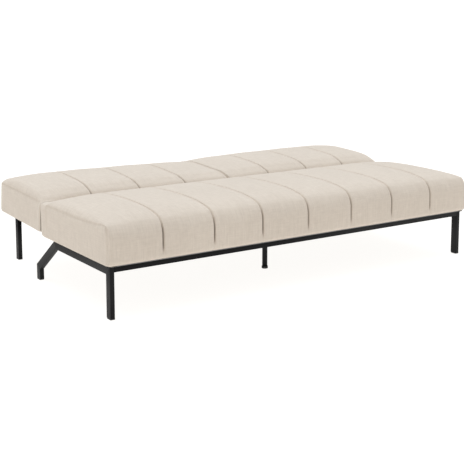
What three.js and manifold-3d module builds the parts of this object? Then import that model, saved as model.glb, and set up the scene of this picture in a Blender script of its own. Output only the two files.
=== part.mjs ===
// Click clack sofa bed, laid flat: a quilted seat on a tube frame, and a quilted back on ratchet hinges.
// Millimetres. X runs across the bed, +Y to its rear, +Z up; the floor is z = 0.
// The middle of the bed's outline on the floor is the origin.
import * as THREE from 'three';
import { mergeVertices } from 'three/addons/utils/BufferGeometryUtils.js';
import Module from 'manifold-3d';

const wasm = await Module();
wasm.setup();

// Overall
const BED_WIDTH = 1980;
const SEAT_DEPTH = 666;
const GAP = 0.3;
const CUT_OVERRUN = 3;

// Black tube frame
const FRAME_SIDE_INSET = 15.5;
const FRAME_FRONT_INSET = 30;
const FRAME_HEIGHT = 218;
const TUBE_SLIM = 20;
const TUBE_DEEP = 32;
const TUBE_WALL = 1.5;
const SIDE_RAIL_RUN = 536;
const FOOT_RUN = 737;
const FOOT_BEND_HEIGHT = 71;
const CROSS_RAIL_SETBACK = 480;
const PLUG_FLANGE = 4;
const PLUG_STUB = 16;
const CENTRE_LEG_DIAMETER = 25;
const CENTRE_LEG_SETBACK = 310;
const CENTRE_PLATE_SIZE = 60;
const CENTRE_PLATE_THICK = 3;
const GLIDE_DIAMETER = 30;
const GLIDE_HEIGHT = 12;
const GLIDE_FLOOR = 4;

// Bolts that hold the seat frame down on the side rails
const BOLT_DIAMETER = 8;
const BOLT_HOLE_CLEARANCE = 0.5;
const BOLT_HEAD_WIDTH = 13;
const BOLT_HEAD_HEIGHT = 5.5;
const BOLT_REACH = 12;
const BOLT_END_INSET = 70;

// Frames and springs inside the cushions
const INNER_TUBE = 25;
const INNER_WALL = 1.5;
const INNER_FRAME_INSET = 16;
const DUST_COVER_THICK = 1.4;
const SEAT_FRAME_REAR_INSET = 15;
const BACK_FRAME_FRONT_INSET = 60;
const BACK_FRAME_STEP_IN = 5.5;
const SPRING_WIRE = 4;
const SPRING_HALF_WIDTH = 22;
const SPRING_PITCH = 26;
const SPRING_COUNT = 6;
const SPRING_CLEARANCE = 2;
const TIE_WIRE = 3;
const TIE_SHARES = [0.35, 0.68];

// Cushions
const CHANNELS = 8;
const CREST_HEIGHT = 5;
const SHOULDER_HEIGHT = 398;
const GROOVE_DEPTH = 40;
const GROOVE_RUN = 42;
const SEAT_CROWN_HEIGHT = 419;
const SEAT_SIDE_SEAM_HEIGHT = 376;
const BACK_TILT = THREE.MathUtils.degToRad(1.8);
const BACK_LENGTH = 504;
const BACK_UNDERSIDE = 122;
const BACK_CROWN = 67;
const BACK_SIDE_SEAM = 12;
const END_ROUND = 120;
const CORNER_RADIUS = 25;
const LOWER_EDGE_ROUND = 10;
const CORNER_FADE = 100;
const ROUND_POWER = 2.2;
const CREST_POWER = 2.5;

// Back support legs, fixed to the back
const BACK_LEG_SIDE_INSET = 73;
const BACK_LEG_REAR_INSET = 8;
const LEG_PLATE_WIDTH = 44;
const LEG_PLATE_LENGTH = 40;
const LEG_PLATE_THICK = 4;

// Click clack hinge
const LOUNGE_ANGLE = 36;
const SOFA_ANGLE = 72;
const PLATE = 5;
const PLATE_GAP = 0.5;
const HUB_RADIUS = 12;
const PIVOT_DIAMETER = 10;
const PIVOT_HEAD_DIAMETER = 17;
const PAWL_PIN_DIAMETER = 8;
const PAWL_PIN_HEAD_DIAMETER = 14;
const PIN_HEAD = 3;
const PIN_CLEARANCE = 0.3;
const PAWL_PIN_DROP = 50;
const PAWL_PIN_FORWARD = 45;
const PAWL_BOSS_RADIUS = 9;
const PAWL_TRAVEL = THREE.MathUtils.degToRad(14);
const NOSE_ANGLE = -95;
const NOSE_WIDTH_ANGLE = 11;
const TOOTH_OUTER = 36;
const TOOTH_ROOT = 28;
const TOOTH_RAMP_ANGLE = 24;
const NOSE_PLAY = 0.6;
const CHEEK_BOSS_RADIUS = 13;
const SEAT_ARM_FOOT = 211;
const SEAT_ARM_WIDTH = 64;
const SEAT_ARM_SHOULDER_RADIUS = 20;
const BACK_ARM_FOOT = 160;
const BACK_ARM_WIDTH = 44;
const SLOT_MARGIN = 1.5;
const LEAF_THICK = 1.2;
const LEAF_DROP = 16;
const LEAF_REACH = 34;
const ROUND_SEGMENTS = 24;
const WIRE_SEGMENTS = 12;

// Places that the sizes above give
const SIDE = BED_WIDTH / 2;
const BED_DEPTH = SEAT_DEPTH + BACK_LENGTH;
const FRONT = -BED_DEPTH / 2;
const JOINT_Y = FRONT + SEAT_DEPTH;
const FRAME_SIDE = SIDE - FRAME_SIDE_INSET;
const FRAME_FRONT = FRONT + FRAME_FRONT_INSET;
const COVER_BASE = FRAME_HEIGHT + GAP;
const SEAT_BASE = COVER_BASE + DUST_COVER_THICK + GAP;
const AXIS_HEIGHT = SHOULDER_HEIGHT - GROOVE_DEPTH;
const SEAT_TUBE_OUT = SIDE - INNER_FRAME_INSET;
const SEAT_TUBE_IN = SEAT_TUBE_OUT - INNER_TUBE;
const SEAT_FRAME_FRONT = FRONT + CREST_HEIGHT + LOWER_EDGE_ROUND + GAP;
const SEAT_FRAME_REAR = JOINT_Y - SEAT_FRAME_REAR_INSET;
const SEAT_ARM_X = SEAT_TUBE_IN - GAP - PLATE;
const BACK_ARM_X = SEAT_ARM_X - PLATE_GAP - PLATE;
const CHEEK_X = BACK_ARM_X - PLATE_GAP - PLATE;
const BACK_TUBE_OUT = SEAT_TUBE_OUT - BACK_FRAME_STEP_IN;
const BACK_FRAME_REAR = BACK_LENGTH - CREST_HEIGHT - LOWER_EDGE_ROUND - GAP;
const SLOT_IN = CHEEK_X - GAP - PIN_HEAD - SLOT_MARGIN;
const SLOT_OUT = SEAT_ARM_X + PLATE + GAP + PIN_HEAD + SLOT_MARGIN;
const RAIL_CENTRE_X = FRAME_SIDE - TUBE_SLIM / 2;
const BOLT_PLACES = [
  FRAME_FRONT + BOLT_END_INSET,
  FRAME_FRONT + SIDE_RAIL_RUN - BOLT_END_INSET,
];

// Finishes
const FABRIC = { color: 0xd8cfc3, roughness: 0.95, metalness: 0 };
const BLACK_TUBE = { color: 0x1d1d1e, roughness: 0.5, metalness: 0.3 };
const BARE_STEEL = { color: 0x8d8f92, roughness: 0.4, metalness: 0.9 };
const ZINC = { color: 0xb4b6b8, roughness: 0.35, metalness: 0.9 };
const BLACK_PLASTIC = { color: 0x141414, roughness: 0.6, metalness: 0 };
const DUST_CLOTH = { color: 0x1b1b1c, roughness: 1, metalness: 0 };

// Solids
function solidOf(geometry) {
  const bare = geometry.clone();
  bare.deleteAttribute('normal');
  bare.deleteAttribute('uv');
  const joined = mergeVertices(bare);
  const vertProperties = new Float32Array(joined.attributes.position.array);
  const triVerts = new Uint32Array(joined.index.array);
  return new wasm.Manifold(new wasm.Mesh({ numProp: 3, vertProperties, triVerts }));
}

function geometryOf(solid) {
  const mesh = solid.getMesh();
  const geometry = new THREE.BufferGeometry();
  geometry.setAttribute('position', new THREE.BufferAttribute(mesh.vertProperties, 3));
  geometry.setIndex(new THREE.BufferAttribute(mesh.triVerts, 1));
  return geometry;
}

function cut(geometry, tools) {
  let solid = solidOf(geometry);
  for (const tool of tools) solid = solid.subtract(solidOf(tool));
  return geometryOf(solid);
}

function join(geometries) {
  let solid = solidOf(geometries[0]);
  for (const geometry of geometries.slice(1)) solid = solid.add(solidOf(geometry));
  return geometryOf(solid);
}

// A box between its low and high corners
function boxBetween(low, high) {
  const size = high.map((value, axis) => value - low[axis]);
  const box = new THREE.BoxGeometry(...size);
  box.translate(...low.map((value, axis) => value + size[axis] / 2));
  return box;
}

// An outline in the YZ plane, extruded toward +X from the given x
function sidePlate(outline, x, thickness) {
  const plate = new THREE.ExtrudeGeometry(new THREE.Shape(outline), {
    depth: thickness,
    bevelEnabled: false,
  });
  const rearward = new THREE.Vector3(0, 1, 0);
  const upward = new THREE.Vector3(0, 0, 1);
  const across = new THREE.Vector3(1, 0, 0);
  plate.applyMatrix4(new THREE.Matrix4().makeBasis(rearward, upward, across));
  return plate.translate(x, 0, 0);
}

// The outline of a strip along a bent centre line, mitred at its bends
function stripOutline(path, width, startCut, endCut) {
  const leftOf = (a, b) => {
    const run = b.clone().sub(a).normalize();
    return new THREE.Vector2(-run.y, run.x);
  };
  const left = [];
  const right = [];
  path.forEach((point, i) => {
    const before = leftOf(path[Math.max(i - 1, 0)], path[Math.max(i, 1)]);
    const last = path.length - 1;
    const after = leftOf(path[Math.min(i, last - 1)], path[Math.min(i + 1, last)]);
    let across = before.clone().add(after).normalize();
    if (i === 0 && startCut) across = startCut;
    if (i === last && endCut) across = endCut;
    const reach = width / 2 / across.dot(i === 0 ? after : before);
    left.push(point.clone().addScaledVector(across, reach));
    right.push(point.clone().addScaledVector(across, -reach));
  });
  return left.concat(right.reverse());
}

// A flat rectangular tube that bends in the YZ plane; its inner space runs out at both ends
function bentTube(path, x, startCut, endCut) {
  const outer = sidePlate(stripOutline(path, TUBE_DEEP, startCut, endCut), x, TUBE_SLIM);
  const core = path.map((point) => point.clone());
  const lead = core[1].clone().sub(core[0]).normalize();
  const last = core.length - 1;
  const tail = core[last].clone().sub(core[last - 1]).normalize();
  core[0].addScaledVector(lead, -CUT_OVERRUN);
  core[last].addScaledVector(tail, CUT_OVERRUN);
  const coreOutline = stripOutline(core, TUBE_DEEP - 2 * TUBE_WALL, startCut, endCut);
  const inner = sidePlate(coreOutline, x + TUBE_WALL, TUBE_SLIM - 2 * TUBE_WALL);
  return cut(outer, [inner]);
}

// A straight rectangular tube between its low and high corners, open along one axis
function straightTube(low, high, wall, axis) {
  const coreLow = low.map((value, i) => (i === axis ? value - CUT_OVERRUN : value + wall));
  const coreHigh = high.map((value, i) => (i === axis ? value + CUT_OVERRUN : value - wall));
  return cut(boxBetween(low, high), [boxBetween(coreLow, coreHigh)]);
}

// A round bar along X with a head at each end
function headedPin(inner, outer, diameter, headDiameter) {
  const profile = [
    [inner - PIN_HEAD, 0],
    [inner - PIN_HEAD, headDiameter / 2],
    [inner, headDiameter / 2],
    [inner, diameter / 2],
    [outer, diameter / 2],
    [outer, headDiameter / 2],
    [outer + PIN_HEAD, headDiameter / 2],
    [outer + PIN_HEAD, 0],
  ].map(([along, radius]) => new THREE.Vector2(radius, along));
  const pin = new THREE.LatheGeometry(profile, ROUND_SEGMENTS);
  return pin.rotateZ(-Math.PI / 2);
}

// Points round a circle in the YZ plane
function circlePoints(y, z, radius) {
  const circle = new THREE.EllipseCurve(y, z, radius, radius, 0, Math.PI * 2);
  return circle.getPoints(ROUND_SEGMENTS);
}

// The tight outline round a set of points, anticlockwise
function hullOutline(points) {
  const sorted = [...points].sort((a, b) => a.x - b.x || a.y - b.y);
  const half = (list) => {
    const chain = [];
    for (const point of list) {
      while (chain.length > 1) {
        const [a, b] = chain.slice(-2);
        const turn = (b.x - a.x) * (point.y - a.y) - (b.y - a.y) * (point.x - a.x);
        if (turn > Number.EPSILON) break;
        chain.pop();
      }
      chain.push(point);
    }
    return chain.slice(0, -1);
  };
  return half(sorted).concat(half(sorted.reverse()));
}

const group = new THREE.Group();
const seat = new THREE.Group();
group.add(seat);

function addMesh(parent, name, geometry, finish) {
  const mesh = new THREE.Mesh(geometry, new THREE.MeshStandardMaterial(finish));
  mesh.name = name;
  parent.add(mesh);
  return mesh;
}

const ENDS = [
  { name: 'left', sign: -1 },
  { name: 'right', sign: 1 },
];

// The x where a piece of the given thickness starts, when its inner face is that far from the middle
function startX(end, innerFace, thickness) {
  return end.sign > 0 ? innerFace : -innerFace - thickness;
}

// Side frames: front leg, side rail, slanted strut and foot, mitred and welded
function addSideFrames() {
  const legY = FRAME_FRONT + TUBE_DEEP / 2;
  const railZ = FRAME_HEIGHT - TUBE_DEEP / 2;
  const footY = FRAME_FRONT + FOOT_RUN - TUBE_DEEP / 2;
  const strutRun = FOOT_RUN - SIDE_RAIL_RUN;
  const strutDrop = FRAME_HEIGHT - FOOT_BEND_HEIGHT;
  const strutSlope = Math.atan2(strutDrop, strutRun);
  const footTurn = Math.PI / 2 - strutSlope;
  const elbowY = FRAME_FRONT + SIDE_RAIL_RUN - (TUBE_DEEP / 2) * Math.tan(strutSlope / 2);
  const bendZ = FOOT_BEND_HEIGHT - (TUBE_DEEP / 2) * Math.tan(footTurn / 2);
  const footTop = PLUG_FLANGE + GAP;

  const cornerBack = GAP / 2 / Math.cos(Math.PI / 4);
  const elbowBack = GAP / 2 / Math.cos(strutSlope / 2);
  const cornerCut = new THREE.Vector2(-1, 1).normalize();
  const elbowCut = new THREE.Vector2(Math.sin(strutSlope / 2), Math.cos(strutSlope / 2));
  const level = new THREE.Vector2(1, 0);

  const legPath = [
    new THREE.Vector2(legY, footTop),
    new THREE.Vector2(legY, railZ - cornerBack),
  ];
  const railPath = [
    new THREE.Vector2(legY + cornerBack, railZ),
    new THREE.Vector2(elbowY - elbowBack, railZ),
  ];
  const elbow = new THREE.Vector2(
    elbowY + elbowBack * Math.cos(strutSlope),
    railZ - elbowBack * Math.sin(strutSlope),
  );
  const strutPath = [
    elbow,
    new THREE.Vector2(footY, bendZ),
    new THREE.Vector2(footY, footTop),
  ];

  for (const end of ENDS) {
    const x = startX(end, FRAME_SIDE - TUBE_SLIM, TUBE_SLIM);
    const leg = bentTube(legPath, x, null, cornerCut);
    addMesh(seat, `front_leg_${end.name}`, leg, BLACK_TUBE);
    const rail = cut(bentTube(railPath, x, cornerCut, elbowCut), boltHoles(end));
    addMesh(seat, `side_rail_${end.name}`, rail, BLACK_TUBE);
    const strut = bentTube(strutPath, x, elbowCut, level);
    addMesh(seat, `rear_leg_${end.name}`, strut, BLACK_TUBE);
    addMesh(seat, `front_foot_plug_${end.name}`, footPlug(x, legY), BLACK_PLASTIC);
    addMesh(seat, `rear_foot_plug_${end.name}`, footPlug(x, footY), BLACK_PLASTIC);
  }
}

// A plug: a flange the size of the tube, and a stub up inside it
function footPlug(x, y) {
  const inset = TUBE_WALL + GAP;
  const flange = boxBetween(
    [x, y - TUBE_DEEP / 2, 0],
    [x + TUBE_SLIM, y + TUBE_DEEP / 2, PLUG_FLANGE],
  );
  const stub = boxBetween(
    [x + inset, y - TUBE_DEEP / 2 + inset, PLUG_FLANGE / 2],
    [x + TUBE_SLIM - inset, y + TUBE_DEEP / 2 - inset, PLUG_FLANGE + PLUG_STUB],
  );
  return join([flange, stub]);
}

// Upright cutters for the bolts at one end
function boltHoles(end) {
  const bottom = FRAME_HEIGHT - TUBE_DEEP - CUT_OVERRUN;
  const top = SEAT_BASE + INNER_TUBE / 2;
  return BOLT_PLACES.map((y) => {
    const radius = BOLT_DIAMETER / 2 + BOLT_HOLE_CLEARANCE;
    const hole = new THREE.CylinderGeometry(radius, radius, top - bottom, WIRE_SEGMENTS);
    hole.rotateX(Math.PI / 2);
    return hole.translate(end.sign * RAIL_CENTRE_X, y, (top + bottom) / 2);
  });
}

// Hexagon-headed bolts, pushed up through the side rails into the seat frame
function addFrameBolts() {
  const headTop = FRAME_HEIGHT - TUBE_DEEP - GAP;
  const tip = SEAT_BASE + BOLT_REACH;
  const head = new THREE.CylinderGeometry(
    BOLT_HEAD_WIDTH / 2,
    BOLT_HEAD_WIDTH / 2,
    BOLT_HEAD_HEIGHT,
    6,
  );
  head.rotateX(Math.PI / 2).translate(0, 0, headTop - BOLT_HEAD_HEIGHT / 2);
  const shankBase = headTop - BOLT_HEAD_HEIGHT / 2;
  const shank = new THREE.CylinderGeometry(
    BOLT_DIAMETER / 2,
    BOLT_DIAMETER / 2,
    tip - shankBase,
    WIRE_SEGMENTS,
  );
  shank.rotateX(Math.PI / 2).translate(0, 0, (tip + shankBase) / 2);
  const bolt = join([head, shank]);
  const places = ['front', 'rear'];
  for (const end of ENDS) {
    BOLT_PLACES.forEach((y, i) => {
      const name = `frame_bolt_${places[i]}_${end.name}`;
      addMesh(seat, name, bolt, ZINC).position.set(end.sign * RAIL_CENTRE_X, y, 0);
    });
  }
}

// Front rail, rear cross rail and the brace between them
function addRails() {
  const reach = FRAME_SIDE - TUBE_SLIM - GAP;
  const low = FRAME_HEIGHT - TUBE_SLIM;
  const crossY = FRAME_FRONT + CROSS_RAIL_SETBACK;
  const places = [
    ['front_rail', FRAME_FRONT],
    ['rear_cross_rail', crossY],
  ];
  for (const [name, y] of places) {
    const rail = straightTube(
      [-reach, y, low],
      [reach, y + TUBE_DEEP, FRAME_HEIGHT],
      TUBE_WALL,
      0,
    );
    addMesh(seat, name, rail, BLACK_TUBE);
  }
  const brace = straightTube(
    [-TUBE_DEEP / 2, FRAME_FRONT + TUBE_DEEP + GAP, low],
    [TUBE_DEEP / 2, crossY - GAP, FRAME_HEIGHT],
    TUBE_WALL,
    1,
  );
  addMesh(seat, 'centre_brace', brace, BLACK_TUBE);
}

// Round centre leg with its top plate, in a round glide
function addCentreLeg() {
  const y = FRAME_FRONT + CENTRE_LEG_SETBACK;
  const plateTop = FRAME_HEIGHT - TUBE_SLIM - GAP;
  const outer = CENTRE_LEG_DIAMETER / 2;
  const inner = outer - TUBE_WALL;
  const foot = GLIDE_FLOOR + GAP;
  const plateBottom = plateTop - CENTRE_PLATE_THICK;
  const tubeProfile = [
    [outer, foot],
    [outer, plateBottom + CENTRE_PLATE_THICK / 2],
    [inner, plateBottom + CENTRE_PLATE_THICK / 2],
    [inner, foot],
    [outer, foot],
  ].map(([radius, height]) => new THREE.Vector2(radius, height));
  const tube = new THREE.LatheGeometry(tubeProfile, ROUND_SEGMENTS).rotateX(Math.PI / 2);
  const half = CENTRE_PLATE_SIZE / 2;
  const plate = boxBetween([-half, -half, plateBottom], [half, half, plateTop]);
  const leg = addMesh(seat, 'centre_leg', join([plate, tube]), BLACK_TUBE);
  leg.position.y = y;

  const bore = outer + GAP;
  const glideProfile = [
    [0, 0],
    [GLIDE_DIAMETER / 2, 0],
    [GLIDE_DIAMETER / 2, GLIDE_HEIGHT],
    [bore, GLIDE_HEIGHT],
    [bore, GLIDE_FLOOR],
    [0, GLIDE_FLOOR],
  ].map(([radius, height]) => new THREE.Vector2(radius, height));
  const glide = new THREE.LatheGeometry(glideProfile, ROUND_SEGMENTS).rotateX(Math.PI / 2);
  addMesh(seat, 'centre_glide', glide, BLACK_PLASTIC).position.y = y;
}

// Sections of a cushion, front to rear: share of its length, share of its height, share of the crest.
// The groove at the joint is set in real sizes instead, so that the back can rise.
const SEAT_TOP_SHARES = [
  [0, 0.05, 0.2],
  [0, 0.27, 0.55],
  [0, 0.5, 1],
  [0.005, 0.613, 1],
  [0.02, 0.734, 1],
  [0.044, 0.824, 1],
  [0.067, 0.869, 1],
  [0.106, 0.91, 1],
  [0.154, 0.942, 1],
  [0.248, 0.98, 1],
  [0.37, 0.997, 1],
  [0.526, 1, 1],
  [0.658, 0.985, 1],
  [0.794, 0.955, 1],
  [0.897, 0.925, 0.8],
];
const BACK_TOP_SHARES = [
  [0.128, 0.926, 0.8],
  [0.255, 0.974, 1],
  [0.377, 0.99, 1],
  [0.499, 0.996, 1],
  [0.621, 1, 1],
  [0.752, 0.97, 1],
  [0.892, 0.893, 1],
  [0.94, 0.843, 1],
  [0.97, 0.757, 1],
  [0.984, 0.65, 1],
  [0.99, 0.455, 1],
  [1, 0.2, 0.6],
  [1, 0.07, 0.2],
];
const SHOULDER_CREST_SHARE = 0.3;
const GROOVE_MID_SHARE = 0.5;
const SECTION_SHARES = [0.15, 0.5, 0.85, 1];
const END_SECTION_SHARES = [0, 0.05, 0.15, 0.33, 0.62, 1];

function seatSection() {
  const start = FRONT + CREST_HEIGHT;
  const joint = JOINT_Y - GAP;
  const height = SEAT_CROWN_HEIGHT - SEAT_BASE;
  const point = (y, z, crest = 0) => ({ y, z, crest });
  const section = [point(start + LOWER_EDGE_ROUND, SEAT_BASE)];
  for (const [along, up, crest] of SEAT_TOP_SHARES) {
    section.push(point(start + along * (joint - start), SEAT_BASE + up * height, crest));
  }
  section.push(
    point(joint - GROOVE_RUN, SHOULDER_HEIGHT, SHOULDER_CREST_SHARE),
    point(joint - GROOVE_RUN * GROOVE_MID_SHARE, AXIS_HEIGHT + GROOVE_DEPTH * GROOVE_MID_SHARE),
    point(joint, AXIS_HEIGHT),
    point(joint, SEAT_BASE + LOWER_EDGE_ROUND),
    point(joint - LOWER_EDGE_ROUND, SEAT_BASE),
  );
  return section;
}

// In the back's own frame the hinge axis is the origin and the underside is level
function backSection() {
  const joint = GAP;
  const end = BACK_LENGTH - CREST_HEIGHT;
  const height = BACK_CROWN + BACK_UNDERSIDE;
  const point = (y, z, crest = 0) => ({ y, z, crest });
  const section = [
    point(joint + LOWER_EDGE_ROUND, -BACK_UNDERSIDE),
    point(joint, LOWER_EDGE_ROUND - BACK_UNDERSIDE),
    point(joint, 0),
    point(joint + GROOVE_RUN * GROOVE_MID_SHARE, GROOVE_DEPTH * GROOVE_MID_SHARE),
    point(joint + GROOVE_RUN, GROOVE_DEPTH, SHOULDER_CREST_SHARE),
  ];
  for (const [along, up, crest] of BACK_TOP_SHARES) {
    section.push(point(along * end, up * height - BACK_UNDERSIDE, crest));
  }
  section.push(point(end - LOWER_EDGE_ROUND, -BACK_UNDERSIDE));
  return section;
}

// Outward direction at each point of a closed section that runs clockwise seen from -X
function sectionNormals(section) {
  return section.map((_, i) => {
    const before = section[(i + section.length - 1) % section.length];
    const after = section[(i + 1) % section.length];
    const run = new THREE.Vector2(after.y - before.y, after.z - before.z).normalize();
    return new THREE.Vector2(-run.y, run.x);
  });
}

// Where the cushion's cross sections stand: x, and how far each lies along its channel
function crossSections() {
  const pitch = BED_WIDTH / CHANNELS;
  const stations = END_SECTION_SHARES.map((share) => ({ x: share * END_ROUND - SIDE, swell: 1 }));
  for (let channel = 0; channel < CHANNELS; channel += 1) {
    for (const share of SECTION_SHARES) {
      const x = (channel + share) * pitch - SIDE;
      const outerHalf = (channel === 0 && share <= 0.5) || (channel === CHANNELS - 1 && share >= 0.5);
      if (outerHalf) continue;
      stations.push({ x, swell: 1 - Math.abs(2 * share - 1) ** CREST_POWER });
    }
  }
  for (const share of [...END_SECTION_SHARES].reverse()) {
    stations.push({ x: SIDE - share * END_ROUND, swell: 1 });
  }
  return stations;
}

// Lofts a section across the bed: channels swell between their seams, and the ends are rounded
// down to the side seam and round the outer corner
function quiltedCushion(section, sideSeam, outerFace, outward) {
  const normals = sectionNormals(section);
  const stations = crossSections();
  const positions = [];
  for (const { x, swell } of stations) {
    const toEnd = SIDE - Math.abs(x);
    const roundShare = Math.max(0, 1 - toEnd / END_ROUND);
    const fall = (1 - roundShare ** ROUND_POWER) ** (1 / ROUND_POWER);
    const cornerShare = Math.max(0, 1 - toEnd / CORNER_RADIUS);
    const cornerInset = CORNER_RADIUS * (1 - Math.sqrt(1 - cornerShare ** 2));
    section.forEach((point, i) => {
      const lift = point.crest * swell * CREST_HEIGHT;
      let y = point.y + normals[i].x * lift;
      let z = point.z + normals[i].y * lift;
      const fromFace = Math.abs(point.y - outerFace);
      y -= outward * cornerInset * Math.max(0, 1 - fromFace / CORNER_FADE);
      if (z > sideSeam) z = sideSeam + (z - sideSeam) * fall;
      positions.push(x, y, z);
    });
  }
  const count = section.length;
  const index = [];
  for (let s = 0; s < stations.length - 1; s += 1) {
    for (let i = 0; i < count; i += 1) {
      const a = s * count + i;
      const b = s * count + ((i + 1) % count);
      index.push(a, b + count, b, a, a + count, b + count);
    }
  }
  const last = (stations.length - 1) * count;
  const endOutline = section.map((_, i) => new THREE.Vector2(positions[3 * i + 1], positions[3 * i + 2]));
  for (const [a, b, c] of THREE.ShapeUtils.triangulateShape(endOutline, [])) {
    index.push(a, c, b, last + a, last + b, last + c);
  }
  const cushion = new THREE.BufferGeometry();
  cushion.setAttribute('position', new THREE.Float32BufferAttribute(positions, 3));
  cushion.setIndex(index);
  return cushion;
}

// A cutter round a box, grown by the usual gap on every side
function clearanceBox(low, high) {
  return boxBetween(
    low.map((value) => value - GAP),
    high.map((value) => value + GAP),
  );
}

// Centres of the zigzag springs across the frame, and of the wires that tie them
function springCentres(reach) {
  return Array.from({ length: SPRING_COUNT }, (_, i) => ((2 * i + 1) / SPRING_COUNT - 1) * reach);
}

function tiePlaces(front, rear) {
  return TIE_SHARES.map((share) => front + share * (rear - front));
}

// Zigzag springs hooked over the front and rear tubes, and tied across; z is the tubes' top
function springUnit(reach, front, rear, z) {
  const wires = [];
  const turns = Math.floor((rear - front) / SPRING_PITCH);
  const start = (front + rear - turns * SPRING_PITCH) / 2;
  const pieces = { depth: SPRING_WIRE, bevelEnabled: false };
  for (const centre of springCentres(reach)) {
    const path = [];
    for (let turn = 0; turn <= turns; turn += 1) {
      const side = turn % 2 ? 1 : -1;
      const y = start + turn * SPRING_PITCH;
      path.push(new THREE.Vector2(centre + side * -SPRING_HALF_WIDTH, y));
      path.push(new THREE.Vector2(centre + side * SPRING_HALF_WIDTH, y));
    }
    const outline = new THREE.Shape(stripOutline(path, SPRING_WIRE));
    wires.push(new THREE.ExtrudeGeometry(outline, pieces).translate(0, 0, z + GAP));
  }
  for (const y of tiePlaces(front, rear)) {
    wires.push(boxBetween(
      [-reach, y - TIE_WIRE / 2, z + GAP],
      [reach, y + TIE_WIRE / 2, z + GAP + TIE_WIRE],
    ));
  }
  return join(wires);
}

// Grooves in a cushion's underside for the springs and their ties
function springGrooves(reach, front, rear, z) {
  const half = SPRING_HALF_WIDTH + SPRING_CLEARANCE + SPRING_WIRE;
  const grooves = springCentres(reach).map((centre) =>
    boxBetween(
      [centre - half, front - INNER_TUBE / 2, z - CUT_OVERRUN],
      [centre + half, rear + INNER_TUBE / 2, z + GAP + SPRING_WIRE + GAP],
    ));
  for (const y of tiePlaces(front, rear)) {
    const tieHalf = TIE_WIRE / 2 + SPRING_CLEARANCE;
    grooves.push(boxBetween(
      [-reach - GAP, y - tieHalf, z - CUT_OVERRUN],
      [reach + GAP, y + tieHalf, z + GAP + TIE_WIRE + GAP],
    ));
  }
  return grooves;
}

// The low and high corners of the tubes of a frame inside a cushion
function frameTubes(reach, innerReach, front, rear, low, shortFront) {
  const high = low + INNER_TUBE;
  const frontReach = (shortFront ? innerReach : reach - INNER_TUBE) - GAP;
  const rearReach = (shortFront ? reach - INNER_TUBE : innerReach) - GAP;
  const along = [front + INNER_TUBE + GAP, rear - INNER_TUBE - GAP];
  return {
    left: { low: [-reach, front, low], high: [INNER_TUBE - reach, rear, high], axis: 1 },
    right: { low: [reach - INNER_TUBE, front, low], high: [reach, rear, high], axis: 1 },
    front: { low: [-frontReach, front, low], high: [frontReach, front + INNER_TUBE, high], axis: 0 },
    rear: { low: [-rearReach, rear - INNER_TUBE, low], high: [rearReach, rear, high], axis: 0 },
    centre: { low: [-INNER_TUBE / 2, along[0], low], high: [INNER_TUBE / 2, along[1], high], axis: 1 },
  };
}

function addSeat() {
  const tubes = frameTubes(
    SEAT_TUBE_OUT, SEAT_ARM_X, SEAT_FRAME_FRONT, SEAT_FRAME_REAR, SEAT_BASE, false);
  const springFront = SEAT_FRAME_FRONT + INNER_TUBE / 2;
  const springRear = SEAT_FRAME_REAR - INNER_TUBE / 2;
  const tubeTop = SEAT_BASE + INNER_TUBE;
  for (const [name, tube] of Object.entries(tubes)) {
    let body = straightTube(tube.low, tube.high, INNER_WALL, tube.axis);
    const end = ENDS.find((candidate) => candidate.name === name);
    if (end) body = cut(body, boltHoles(end));
    addMesh(seat, `seat_frame_${name}`, body, BARE_STEEL);
  }
  const unit = springUnit(SEAT_TUBE_IN, springFront, springRear, tubeTop);
  addMesh(seat, 'seat_spring_unit', unit, BARE_STEEL);

  const coverLow = [-SEAT_TUBE_OUT, SEAT_FRAME_FRONT, COVER_BASE];
  const coverHigh = [SEAT_TUBE_OUT, SEAT_FRAME_REAR, COVER_BASE + DUST_COVER_THICK];
  const cover = cut(boxBetween(coverLow, coverHigh), ENDS.flatMap(boltHoles));
  addMesh(seat, 'seat_dust_cover', cover, DUST_CLOTH);

  const grooves = Object.values(tubes).map((tube) => clearanceBox(tube.low, tube.high));
  grooves.push(...springGrooves(SEAT_TUBE_IN, springFront, springRear, tubeTop));
  for (const end of ENDS) {
    const slotX = startX(end, SLOT_IN, SLOT_OUT - SLOT_IN);
    grooves.push(boxBetween(
      [slotX, JOINT_Y - SEAT_FRAME_REAR_INSET - SEAT_ARM_WIDTH - SLOT_MARGIN, COVER_BASE],
      [slotX + SLOT_OUT - SLOT_IN, JOINT_Y + GAP, AXIS_HEIGHT + HUB_RADIUS + SLOT_MARGIN],
    ));
    const footX = startX(end, SEAT_ARM_X, PLATE);
    grooves.push(clearanceBox(
      [footX, SEAT_FRAME_REAR - SEAT_ARM_FOOT, SEAT_BASE],
      [footX + PLATE, SEAT_FRAME_REAR, tubeTop],
    ));
  }
  const cushion = quiltedCushion(seatSection(), SEAT_SIDE_SEAM_HEIGHT, FRONT, -1);
  addMesh(seat, 'seat_cushion', cut(cushion, grooves), FABRIC);
}

// The back hangs on the hinge axis; everything in this group is measured from that axis
const back = new THREE.Group();
back.position.set(0, JOINT_Y, AXIS_HEIGHT);
back.rotation.x = BACK_TILT;
group.add(back);

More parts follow.
